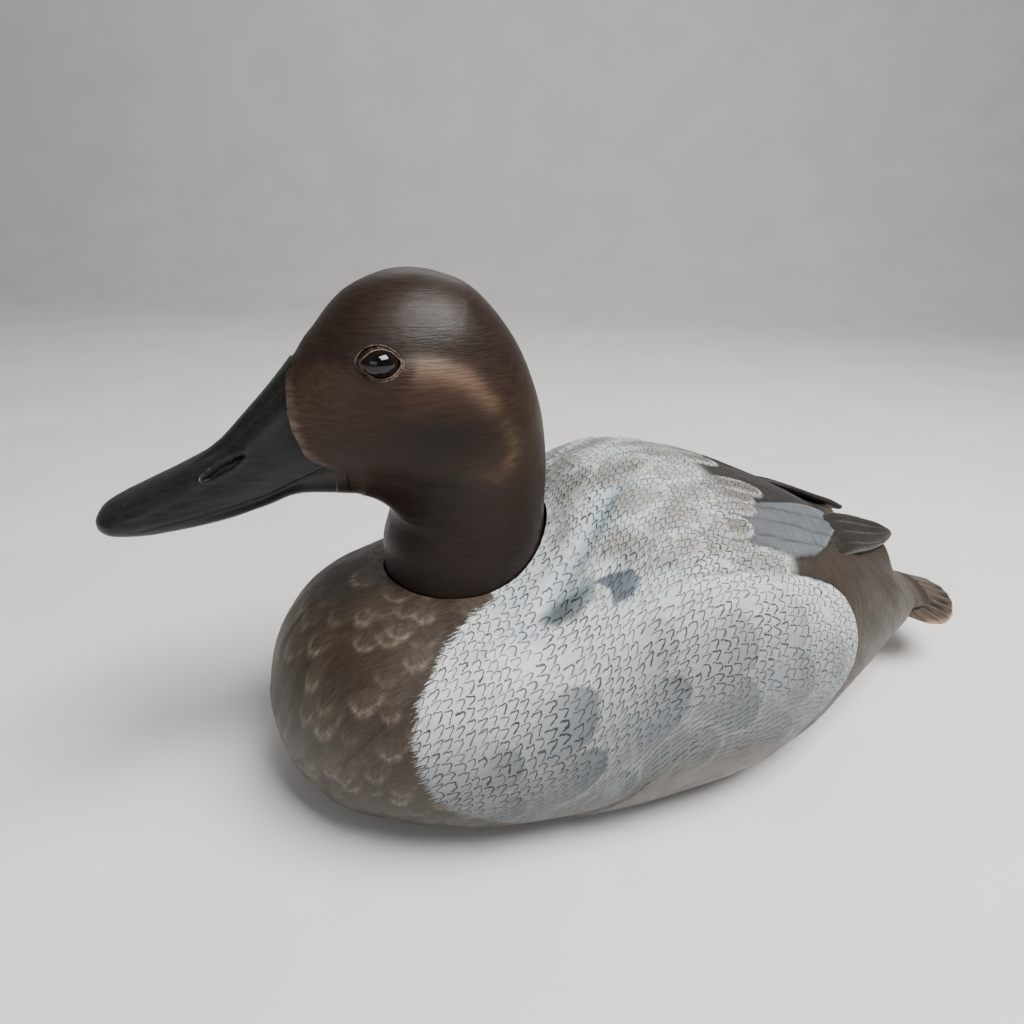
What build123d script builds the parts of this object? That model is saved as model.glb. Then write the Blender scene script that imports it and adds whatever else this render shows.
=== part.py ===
from build123d import *
import os
from math import cos, pi, radians, sin, sqrt

# Floating decoy of a diving duck, in millimetres, standing on its flat bottom.
# The bill points along -Y, the duck's left side is +X, up is +Z.
# Stations along the duck are distances back from a plane 5 mm ahead of the bill tip.

BILL_TIP = 5.0          # station of the bill tip
TAIL_TIP = 348.0        # station of the tail's end
MIDDLE = (BILL_TIP + TAIL_TIP) / 2

BOARD_TOP = 16.0        # joint between the bottom board and the upper body

NECK_AT = 113.0         # station of the neck bolt
NECK_R = 27.2
NECK_GAP = 0.6          # open seam between the neck and its seat
SEAT_Z = 70.0           # floor of the round seat that the neck turns in
SEAT_WASHER = 1.0
SEAT_WASHER_R = 23.0
CLAMP_Z = 58.0          # underside of the wood that the neck bolt clamps
RUNNING_GAP = 0.1       # between faces that slide on each other

BOLT_R = 4.0
BOLT_BORE_R = 4.08
BOLT_TOP = 128.0
BOLT_END = 45.0

BILL_SEAT = 61.0        # station of the flat face where the bill meets the head
EYE_AT = (21.2, 82.4, 150.7)
EYE_R = 6.2
LID_R = 7.3

CARVED = 28             # points round a carved section of the head or bill

RING_BAR = (82.0, 3.3)  # station and height of the line ring's hinge bar
RING_WIRE_R = 1.1
RING_HALF = 9.0
RING_LENGTH = 17.0

os.makedirs("parts", exist_ok=True)


def at(station):
    """Row Y of a station."""
    return station - MIDDLE


def power(value, exponent):
    return abs(value) ** exponent * (1 if value >= 0 else -1)


def closed_spline(points):
    return Wire([Edge.make_spline([Vector(*p) for p in points], periodic=True)])


def straight_loft(rings):
    """Faceted loft that runs straight from each ring of points to the next."""
    outlines = [Wire.make_polygon([Vector(*p) for p in ring]) for ring in rings]
    return Solid.make_loft(outlines, ruled=True)


def body_ring(station, top, wide, bottom, half, upper, lower, count=20):
    """Cross-section of the body: two half superellipses that meet at the widest height."""
    points = []
    for i in range(count):
        t = 2 * pi * i / count
        exponent = upper if sin(t) >= 0 else lower
        reach = top - wide if sin(t) >= 0 else wide - bottom
        x = half * power(cos(t), 2 / exponent)
        z = wide + reach * power(sin(t), 2 / exponent)
        points.append((x, at(station), z))
    return closed_spline(points)


# Body sections: station, top, widest height, bottom, half width, upper and lower roundness.
# The bottoms run below zero because the flat base is cut from the round hull.
BREAST_NOSE = (45.0, 34.0)
BODY = [
    (46.2, 43, 34, 24, 11, 2.0, 2.0),
    (49, 52, 34, 14, 21, 2.0, 2.0),
    (54, 60, 35, 7, 31.5, 2.0, 2.0),
    (62, 68, 37, 1, 42, 2.05, 2.1),
    (73, 73.5, 39, -2.5, 51, 2.1, 2.2),
    (86, 76.5, 40, -4, 58.5, 2.1, 2.3),
    (100, 79, 41, -5.5, 63.5, 2.1, 2.35),
    (114, 81.5, 42, -7, 66.5, 2.1, 2.4),
    (128, 86.5, 42, -8, 68, 2.1, 2.4),
    (142, 97, 42, -9, 69, 2.1, 2.4),
    (156, 107, 42, -9, 69.5, 2.1, 2.4),
    (170, 111.5, 43, -9, 69.5, 2.1, 2.4),
    (188, 110, 43, -9, 68.5, 2.1, 2.4),
    (208, 104, 44, -8, 66, 2.1, 2.4),
    (228, 96, 45, -5.5, 61, 2.1, 2.4),
    (248, 86.5, 46, 1.5, 53, 2.1, 2.3),
    (265, 76, 46, 11, 45.5, 2.1, 2.3),
    (282, 63, 44, 19, 37.5, 2.15, 2.2),
    (298, 51.5, 39, 24, 29.5, 2.2, 2.2),
    (312, 44.5, 36, 27, 23, 2.2, 2.2),
]
HOLLOW = [
    (92, 58, 40, -10, 30, 2.4, 2.6),
    (108, 60, 41, -12, 46, 2.4, 2.6),
    (128, 66, 42, -14, 53, 2.3, 2.6),
    (150, 88, 42, -14, 56, 2.2, 2.6),
    (175, 97, 42, -14, 56, 2.2, 2.6),
    (200, 90, 42, -14, 52, 2.2, 2.6),
    (225, 72, 43, -12, 36, 2.2, 2.6),
]


def make_body():
    nose = Vertex(0, at(BREAST_NOSE[0]), BREAST_NOSE[1])
    hull = Solid.make_loft([nose] + [body_ring(*row) for row in BODY])
    room = Box(200, 400, 200, align=(Align.CENTER, Align.CENTER, Align.MIN))
    return hull & room


def make_hollow():
    return Solid.make_loft([body_ring(*row) for row in HOLLOW])


# Head: cross-sections on a fan of planes that share a line under the chin.
CHIN_LINE = (78.0, 96.0)     # station and height of that line
# fan angle (0 points back, 90 points up), inner and outer radius, half width, roundness, pear
HEAD = [
    (0, 10.0, 61.8, 26.0, 2.0, 0.00),
    (18, 10.2, 64.2, 26.0, 2.05, 0.03),
    (36, 9.7, 69.8, 26.5, 2.1, 0.06),
    (52, 9.4, 76.0, 27.0, 2.1, 0.09),
    (66, 9.6, 80.2, 27.2, 2.15, 0.11),
    (78, 10.0, 78.7, 26.8, 2.15, 0.12),
    (90, 10.6, 72.0, 25.2, 2.15, 0.12),
    (100, 11.3, 62.5, 22.4, 2.1, 0.09),
]


def head_ring(angle, inner, outer, half, roundness, pear, count=CARVED):
    points = []
    a = radians(angle)
    for i in range(count):
        t = 2 * pi * i / count
        r = (inner + outer) / 2 + (inner - outer) / 2 * power(-sin(t), 2 / roundness)
        x = half * power(cos(t), 2 / roundness) * (1 - pear * sin(t))
        points.append((x, at(CHIN_LINE[0] + r * cos(a)), CHIN_LINE[1] + r * sin(a)))
    return points


def neck_ring(z, count=CARVED):
    """Circle about the neck bolt, started and wound like the head's sections."""
    points = []
    for i in range(count):
        t = 2 * pi * i / count
        points.append((NECK_R * cos(t), at(NECK_AT + NECK_R * sin(t)), z))
    return points


def upright(radius, low, high, station=NECK_AT, x=0.0):
    """Cylinder that stands along Z."""
    solid = Cylinder(radius, high - low, align=(Align.CENTER, Align.CENTER, Align.MIN))
    return Pos(x, at(station), low) * solid


BILL = [
    # station, top, bottom, half width, roundness
    (BILL_TIP, 106.0, 104.0, 4.5, 2.2),
    (7.5, 108.2, 102.6, 8.6, 2.2),
    (12, 110.8, 101.6, 11.6, 2.2),
    (19, 114.0, 101.0, 13.2, 2.2),
    (28, 118.2, 101.2, 13.1, 2.2),
    (40, 124.8, 102.6, 12.7, 2.2),
    (50, 133.9, 105.0, 13.3, 2.2),
    (BILL_SEAT, 146.0, 108.0, 15.4, 2.2),
]
TENON = (11.0, 15.0, 14.0)      # width, length past the seat, height
TENON_Z = 127.0


def bill_ring(station, top, bottom, half, roundness, count=CARVED):
    points = []
    for i in range(count):
        t = 2 * pi * i / count
        x = half * power(cos(t), 2 / roundness)
        z = (top + bottom) / 2 + (top - bottom) / 2 * power(sin(t), 2 / roundness)
        points.append((x, at(station), z))
    return points


def make_tenon():
    width, length, height = TENON
    return Pos(0, at(BILL_SEAT) + length / 2, TENON_Z) * Box(width, length, height)


def make_bill():
    blade = straight_loft([bill_ring(*row) for row in BILL])
    slots = Part()
    for side in (-1, 1):
        slot = SlotOverall(13, 2.6)
        nostril = extrude(Plane.YZ * Rot(0, 0, 29) * slot, 6)
        slots += Pos(side * 8.5 - 3, at(39.7), 121.5) * nostril
    return blade + make_tenon() - slots


def eye_place(side):
    return Pos(side * EYE_AT[0], at(EYE_AT[1]), EYE_AT[2])


def make_head():
    neck = [neck_ring(z) for z in (SEAT_Z + SEAT_WASHER + RUNNING_GAP, 80, 88)]
    crown = [head_ring(*row) for row in HEAD]
    head = straight_loft(neck + crown + [bill_ring(*BILL[-1])])
    sockets = [eye_place(side) * Sphere(LID_R) for side in (-1, 1)]
    return head - [make_tenon(), upright(BOLT_R, 60, BOLT_TOP), *sockets]


def make_eye(side):
    return eye_place(side) * Sphere(EYE_R)


def make_eyelid(side):
    """Putty cup around the glass, open in an almond shape."""
    reach = 12.0
    almond = Ellipse(5.0, 3.7)
    opening = extrude(Plane.YZ * almond, side * reach)
    cup = Sphere(LID_R) - Sphere(EYE_R) - opening
    return eye_place(side) * cup


# Tail insert: an arched fan, with a tongue let into the rump.
# station, height of the ridge, half width, thickness
TAIL = [
    (288, 45.0, 11.0, 5.0),
    (300, 43.0, 14.0, 5.0),
    (312, 40.6, 18.0, 4.6),
    (324, 37.5, 20.5, 4.0),
    (334, 34.5, 20.0, 3.4),
    (342, 31.8, 15.5, 2.8),
    (346.5, 30.1, 9.5, 2.3),
    (TAIL_TIP, 29.2, 4.5, 2.0),
]
TAIL_DROOP = 9.0        # fall of the edges below the ridge where the fan is widest
TAIL_WIDEST = 20.5


def make_tail(count=12):
    rings = []
    for station, ridge, half, thick in TAIL:
        droop = TAIL_DROOP * (half / TAIL_WIDEST) ** 2
        points = []
        for i in range(count):
            t = 2 * pi * i / count
            z = ridge - thick / 2 - droop * cos(t) ** 2 + thick / 2 * sin(t)
            points.append((half * cos(t), at(station), z))
        rings.append(points)
    return straight_loft(rings)


# Wing tip: a thin blade of folded primaries, let into the back and standing off the rump.
# station, centre from the middle, height of the middle, half width, half thickness
WING = [
    (236, 33.5, 82.3, 8.0, 2.4),
    (250, 28.5, 80.6, 9.5, 2.3),
    (264, 23.5, 76.5, 9.0, 2.1),
    (278, 18.5, 71.2, 6.8, 1.8),
    (288, 15, 67.4, 4.4, 1.5),
    (294, 12.9, 65.2, 2.0, 1.1),
]
WING_SLOPE = radians(24)     # the blade leans down to the side


def make_wing(side, count=20):
    rings = []
    for station, centre, height, half, thick in WING:
        points = []
        for i in range(count):
            t = 2 * pi * i / count
            u = half * cos(t)
            v = thick * sin(t)
            x = centre + u * cos(WING_SLOPE) + v * sin(WING_SLOPE)
            z = height - u * sin(WING_SLOPE) + v * cos(WING_SLOPE)
            points.append((side * x, at(station), z))
        rings.append(points)
    return straight_loft(rings)


def screw_hole(station, x, base, length, head_r, shank_r):
    """Space that a wood screw fills, pointing up from height base."""
    depth = head_r - shank_r
    head = Cone(head_r, shank_r, depth, align=(Align.CENTER, Align.CENTER, Align.MIN))
    shank = Cylinder(shank_r, length - 3, align=(Align.CENTER, Align.CENTER, Align.MIN))
    tip = Pos(0, 0, length - 3) * Cone(shank_r, 0.3, 3, align=(Align.CENTER, Align.CENTER, Align.MIN))
    return Pos(x, at(station), base) * (head + shank + tip)


def slotted_screw(station, x, base, length, head_r, shank_r):
    slot = Pos(x, at(station), base) * Box(head_r * 3, 0.8, 1.2)
    return screw_hole(station, x, base, length, head_r, shank_r) - slot


def sunk_screws(places, base, length, head_r, shank_r):
    """The screws and the holes for them, the holes open to the face below."""
    sizes = (base, length, head_r, shank_r)
    screws = [slotted_screw(s, x, *sizes) for s, x in places]
    holes = [screw_hole(s, x, *sizes) for s, x in places]
    mouths = [upright(head_r, -1, base, s, x) for s, x in places]
    return screws, holes + mouths


BOARD_SCREWS = [(72, -15), (72, 15), (234, -13), (234, 13)]
DOWELS = [(84, -27), (84, 27), (233, -26), (233, 26)]
DOWEL_R = 4.0
DOWEL_HALF = 10.0

BALLAST_AT = 178.0
BALLAST = (36.0, 96.0, 6.0)     # width, length, thickness
BALLAST_Z = 0.4
BALLAST_SCREWS = [(140, 0), (216, 0)]

TAIL_PINS = [(301, -8), (301, 8)]
TAIL_PIN_R = 1.5

RECESS = (12.0, -4.5, 23.0, 7.0)    # half width, front and back from the bar, depth
PLATE_Z = (5.4, 7.0)
PLATE_SCREWS = [(RING_BAR[0] + 8, -4.5), (RING_BAR[0] + 8, 4.5)]


def make_ballast():
    plate = Box(*BALLAST, align=(Align.CENTER, Align.CENTER, Align.MIN))
    plate = fillet(plate.edges().filter_by(Axis.Z), 6)
    return Pos(0, at(BALLAST_AT), BALLAST_Z) * plate


def make_recess():
    half, front, back, depth = RECESS
    block = Box(2 * half, back - front, depth + 1, align=(Align.CENTER, Align.MIN, Align.MIN))
    block = fillet(block.edges().filter_by(Axis.Z), 4)
    return Pos(0, at(RING_BAR[0]) + front, -1) * block


def make_tie_plate():
    low, high = PLATE_Z
    plate = Pos(0, at(RING_BAR[0]) + 4, (low + high) / 2) * Box(15.5, 15, high - low)
    for side in (-1, 1):
        ear = Pos(side * 5.5, at(RING_BAR[0]), RING_BAR[1]) * Rot(0, 90, 0) * Cylinder(2.3, 2.4)
        web = Pos(side * 5.5, at(RING_BAR[0]), (RING_BAR[1] + low) / 2) * Box(2.4, 4.6, low - RING_BAR[1])
        plate = plate + ear + web
    bore = Pos(0, at(RING_BAR[0]), RING_BAR[1]) * Rot(0, 90, 0) * Cylinder(RING_WIRE_R + 0.07, 40)
    return plate - bore


def make_ring():
    """D-shaped wire ring: a hinge bar, two legs and a half-round end."""
    y, z = at(RING_BAR[0]), RING_BAR[1]
    corner = 2.5
    r = RING_HALF
    legs = RING_LENGTH - r
    first = Edge.make_line((-r + corner, y, z), (r - corner, y, z))
    turn = corner * (1 - sqrt(0.5))
    corner_b = Edge.make_three_point_arc((r - corner, y, z), (r - turn, y + turn, z), (r, y + corner, z))
    leg_b = Edge.make_line((r, y + corner, z), (r, y + legs, z))
    bow = Edge.make_three_point_arc((r, y + legs, z), (0, y + legs + r, z), (-r, y + legs, z))
    leg_a = Edge.make_line((-r, y + legs, z), (-r, y + corner, z))
    corner_a = Edge.make_three_point_arc((-r, y + corner, z), (-r + turn, y + turn, z), (-r + corner, y, z))
    path = Wire([first, corner_b, leg_b, bow, leg_a, corner_a])
    section = Plane(origin=(-r + corner, y, z), x_dir=(0, 1, 0), z_dir=(1, 0, 0)) * Circle(RING_WIRE_R)
    return sweep(section, path=path, transition=Transition.ROUND)


def washer(outer, inner, low, high):
    return upright(outer, low, high) - upright(inner, low - 1, high + 1)


def make_lock_nut(low, high):
    hexagon = extrude(RegularPolygon(7.5, 6), high - low)
    nut = Pos(0, at(NECK_AT), low) * hexagon
    return nut - upright(BOLT_R, low - 1, high + 1)


def group(solids):
    return Compound(children=[s for s in solids])


def save(name, shape):
    export_step(shape, f"parts/{name}.step")


hull = make_body()
board_zone = Box(300, 500, 2 * BOARD_TOP)
wings = {"left": make_wing(1), "right": make_wing(-1)}
tail = make_tail()
board_screws, board_holes = sunk_screws(BOARD_SCREWS, 0.3, 38, 4.2, 2.1)
ballast_screws, ballast_holes = sunk_screws(BALLAST_SCREWS, BALLAST_Z, 13.5, 3.6, 1.7)
plate_screws, plate_holes = sunk_screws(PLATE_SCREWS, PLATE_Z[0], 9.5, 2.0, 1.0)
dowels = [upright(DOWEL_R, BOARD_TOP - DOWEL_HALF, BOARD_TOP + DOWEL_HALF, s, x) for s, x in DOWELS]
tail_pins = [upright(TAIL_PIN_R, 33, 46, s, x) for s, x in TAIL_PINS]
ballast = make_ballast()
ballast_pocket = Pos(0, 0, -1) * ballast + ballast

neck_seat = upright(NECK_R + NECK_GAP, SEAT_Z, SEAT_Z + 60)
spot_face = upright(14, CLAMP_Z - 15, CLAMP_Z)
bolt_bore = upright(BOLT_BORE_R, CLAMP_Z - 15, SEAT_Z + 1)
upper = hull - [board_zone, make_hollow(), neck_seat, spot_face, bolt_bore]
upper = upper - [wings["left"], wings["right"], tail, *tail_pins, *dowels, *board_holes]
board = (hull & board_zone) - [make_recess(), ballast_pocket, *ballast_holes, *plate_holes]
board = board - [*dowels, *board_holes]
tail = tail - tail_pins
ballast = ballast - ballast_holes
tie_plate = make_tie_plate() - plate_holes

save("upper_body", upper)
save("bottom_board", board)
save("head", make_head())
save("bill", make_bill())
for name, side in (("left", 1), ("right", -1)):
    save(f"{name}_eye", make_eye(side))
    save(f"{name}_eyelid", make_eyelid(side))
    save(f"{name}_wing_tip", wings[name])
save("tail", tail)
save("tail_pins", group(tail_pins))
save("locating_dowels", group(dowels))
save("board_screws", group(board_screws))
save("ballast_weight", ballast)
save("ballast_screws", group(ballast_screws))
save("line_tie_plate", tie_plate)
save("line_tie_ring", make_ring())
save("line_tie_screws", group(plate_screws))
save("neck_washer", washer(SEAT_WASHER_R, BOLT_R + 0.08, SEAT_Z, SEAT_Z + SEAT_WASHER))
save("head_bolt", upright(BOLT_R, BOLT_END, BOLT_TOP))
washer_top = CLAMP_Z - RUNNING_GAP
save("bolt_washer", washer(12, BOLT_R, washer_top - 1.6, washer_top))
save("spring_washer", washer(7.2, BOLT_R, washer_top - 3.8, washer_top - 1.6))
save("lock_nut", make_lock_nut(washer_top - 10.6, washer_top - 3.8))
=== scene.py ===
from math import cos, pi, radians, sin, sqrt

import bpy
import numpy as np
from mathutils import Matrix, Vector
from mathutils.bvhtree import BVHTree


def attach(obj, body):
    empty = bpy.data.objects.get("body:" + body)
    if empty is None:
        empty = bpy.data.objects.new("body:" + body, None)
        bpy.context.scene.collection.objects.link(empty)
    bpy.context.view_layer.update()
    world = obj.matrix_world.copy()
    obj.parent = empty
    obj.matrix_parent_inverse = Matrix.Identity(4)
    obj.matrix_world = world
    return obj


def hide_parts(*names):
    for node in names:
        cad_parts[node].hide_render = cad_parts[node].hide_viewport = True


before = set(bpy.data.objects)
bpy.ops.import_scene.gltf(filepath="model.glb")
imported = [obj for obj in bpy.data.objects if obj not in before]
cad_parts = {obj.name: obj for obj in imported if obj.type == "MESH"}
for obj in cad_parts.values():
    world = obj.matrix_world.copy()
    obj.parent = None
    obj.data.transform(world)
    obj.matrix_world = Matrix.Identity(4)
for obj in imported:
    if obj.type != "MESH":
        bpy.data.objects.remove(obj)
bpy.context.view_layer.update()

# Lengths below are in millimetres. Stations run back from a plane 5 mm ahead of the bill tip.
BILL_TIP = 5.0
TAIL_TIP = 348.0
MIDDLE = (BILL_TIP + TAIL_TIP) / 2
NOSE = 45.0                       # front of the breast
BODY_END = 308.0                  # where the rump meets the tail
NECK_STATION = 113.0
NECK_RADIUS = 27.2
SEAT_RADIUS = 27.8                # round opening in the body that the neck stands in
EYE = (21.2, 82.4, 150.7)         # middle of the left eye: side, station, height
EYE_RADII = (6.2, 5.7, 4.5)       # sideways, along, up
TAIL_HALF = 22.3
TAIL_DROOP = 11.0                 # of the tail's edges at its widest
SKIN_THICK = 0.8
LID_THICK = 0.9
MM = 0.001
SIDES = (("left", 1), ("right", -1))

# Wing tips: station, centre, height, half width, half thickness
WING = np.array([
    (232, 34.3, 79.0, 7.0, 1.8), (240, 31.5, 80.8, 8.6, 2.2), (250, 27.8, 80.8, 9.5, 2.3),
    (264, 22.8, 77.4, 9.0, 2.1), (277, 18.5, 73.8, 6.8, 1.8), (286, 15.8, 71.6, 4.4, 1.5),
    (292, 14.0, 70.0, 2.0, 1.1),
])


def tone(red, green, blue):
    """Screen colour 0-255 as a linear colour."""
    c = np.array([red, green, blue]) / 255.0
    return np.where(c <= 0.04045, c / 12.92, ((c + 0.055) / 1.055) ** 2.4)


# ---------------------------------------------------------------- curves and noise

def cubic(x, knots, values):
    """Smooth curve through the values, with slopes taken from the neighbours."""
    k = np.asarray(knots, float)
    v = np.asarray(values, float)
    slope = np.gradient(v, k, axis=0)
    i = np.clip(np.searchsorted(k, x) - 1, 0, len(k) - 2)
    h = k[i + 1] - k[i]
    u = (x - k[i]) / h
    a = 2 * u**3 - 3 * u**2 + 1
    b = (u**3 - 2 * u**2 + u) * h
    c = -2 * u**3 + 3 * u**2
    d = (u**3 - u**2) * h
    while a.ndim < v[i].ndim:
        a, b, c, d = a[..., None], b[..., None], c[..., None], d[..., None]
    return a * v[i] + b * slope[i] + c * v[i + 1] + d * slope[i + 1]


def smooth(x, low, high):
    """Eased step from 0 at low to 1 at high."""
    t = np.clip((x - low) / (high - low), 0, 1)
    return t * t * (3 - 2 * t)


def bell(x, width, power=2):
    """1 at x = 0, falling to 0 a few widths away; a higher power has a flatter top."""
    return np.exp(-((x / width) ** power))


def over(base, colour, weight):
    """Colours with another laid over them, by weight from 0 to 1."""
    k = np.clip(weight, 0, 1).reshape(-1, 1)
    return base * (1 - k) + np.asarray(colour) * k


def value_noise(x, y, scale, seed):
    """Smooth random surface from -1 to 1 with features about `scale` wide."""
    lattice = np.random.default_rng(seed).uniform(-1, 1, (128, 128))
    gx, gy = x / scale + 57.3, y / scale + 31.7
    ix, iy = np.floor(gx).astype(int), np.floor(gy).astype(int)
    fx, fy = gx - ix, gy - iy
    fx, fy = fx * fx * (3 - 2 * fx), fy * fy * (3 - 2 * fy)
    a, b = lattice[ix % 128, iy % 128], lattice[(ix + 1) % 128, iy % 128]
    c, d = lattice[ix % 128, (iy + 1) % 128], lattice[(ix + 1) % 128, (iy + 1) % 128]
    return (a * (1 - fx) + b * fx) * (1 - fy) + (c * (1 - fx) + d * fx) * fy


def cloud(x, y, scale, seed):
    """Noise of two sizes."""
    return value_noise(x, y, scale, seed) * 0.65 + value_noise(x, y, scale / 2.3, seed + 1) * 0.35


def spine_distance(x, y, line):
    """Distance to an open line of points, and how far along it (0 to 1) the nearest point is."""
    line = np.asarray(line, float)
    lengths = np.r_[0, np.cumsum(np.hypot(*np.diff(line, axis=0).T))]
    best = np.full(x.shape, 1e9)
    where = np.zeros(x.shape)
    for k in range(len(line) - 1):
        a, b = line[k], line[k + 1]
        d = b - a
        h = np.clip(((x - a[0]) * d[0] + (y - a[1]) * d[1]) / (d @ d), 0, 1)
        gap = np.hypot(x - a[0] - h * d[0], y - a[1] - h * d[1])
        near = gap < best
        best = np.where(near, gap, best)
        where = np.where(near, (lengths[k] + h * sqrt(d @ d)) / lengths[-1], where)
    return best, where


def inside(x, y, polygon):
    """Whether each point lies in the polygon."""
    hit = np.zeros(x.shape, bool)
    n = len(polygon)
    for k in range(n):
        (x1, y1), (x2, y2) = polygon[k], polygon[(k + 1) % n]
        if y1 == y2:
            continue
        cross = (y1 > y) != (y2 > y)
        hit ^= cross & (x < (x2 - x1) * (y - y1) / (y2 - y1) + x1)
    return hit


# ---------------------------------------------------------------- meshes

def grid_faces(rows, columns, wrap=False):
    """Quads of a grid of points; with wrap the last column joins the first."""
    r = np.arange(rows - 1)[:, None]
    c = np.arange(columns if wrap else columns - 1)[None, :]
    n = (c + 1) % columns
    a, b = r * columns + c, r * columns + n
    d, e = (r + 1) * columns + c, (r + 1) * columns + n
    return np.stack([a, b, e, d], -1).reshape(-1, 4)


def vertex_normals(points, faces):
    """Area-weighted normals of a mesh of quads."""
    p = points[faces]
    n = np.cross(p[:, 2] - p[:, 0], p[:, 3] - p[:, 1])
    total = np.zeros_like(points)
    for k in range(4):
        np.add.at(total, faces[:, k], n)
    return total / np.maximum(np.linalg.norm(total, axis=1, keepdims=True), 1e-12)


def make_piece(name, points, faces, material, body, slot, replaces=(), normals=None, layers=None):
    """A mesh from points in mm, riding on a CAD body."""
    mesh = bpy.data.meshes.new(name)
    mesh.from_pydata((points * MM).tolist(), [], [list(f) for f in faces])
    mesh.polygons.foreach_set("use_smooth", [True] * len(mesh.polygons))
    for layer, values in (layers or {}).items():
        if layer in ("paint", "breast"):
            attribute = mesh.attributes.new(layer, "FLOAT_COLOR", "POINT")
            full = np.c_[values, np.ones(len(values))]
            attribute.data.foreach_set("color", full.astype(np.float32).ravel())
        else:
            attribute = mesh.attributes.new(layer, "FLOAT_VECTOR", "POINT")
            attribute.data.foreach_set("vector", values.astype(np.float32).ravel())
    if normals is not None:
        mesh.normals_split_custom_set_from_vertices(normals.tolist())
    mesh.materials.append(material)
    obj = bpy.data.objects.new(name, mesh)
    bpy.context.scene.collection.objects.link(obj)
    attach(obj, body)
    if replaces:
        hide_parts(*replaces)
    return obj


def thick_piece(name, points, faces, normals, layers, thickness, **rest):
    """Closed shell: the given skin, a copy of it set inward, and walls round every open edge."""
    used = np.unique(faces)
    remap = np.full(len(points), -1)
    remap[used] = np.arange(len(used))
    faces = remap[faces]
    p, n = points[used], normals[used]
    count = len(p)
    directed = np.concatenate([faces[:, [k, (k + 1) % 4]] for k in range(4)])
    code = directed[:, 0].astype(np.int64) * count + directed[:, 1]
    back = directed[:, 1].astype(np.int64) * count + directed[:, 0]
    rim = directed[~np.isin(code, back)]
    wall = np.c_[rim[:, 1], rim[:, 0], rim[:, 0] + count, rim[:, 1] + count]
    both = np.concatenate([faces, faces[:, ::-1] + count, wall])
    doubled = {k: np.concatenate([v[used], v[used]]) for k, v in layers.items()}
    return make_piece(
        name, np.concatenate([p, p - n * thickness]), both,
        normals=np.concatenate([n, -n]), layers=doubled, **rest,
    )


def closed_tube(points, rows, columns):
    """Faces of a ring grid closed by a fan at each end; returns points with the two hubs, and faces."""
    grid = points.reshape(rows, columns, 3)
    hubs = np.array([grid[0].mean(0), grid[-1].mean(0)])
    faces = [list(f) for f in grid_faces(rows, columns, wrap=True)]
    first, last = rows * columns, rows * columns + 1
    for c in range(columns):
        n = (c + 1) % columns
        faces.append([first, n, c])
        faces.append([last, (rows - 1) * columns + c, (rows - 1) * columns + n])
    return np.concatenate([points, hubs]), faces


# ---------------------------------------------------------------- node materials

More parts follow.
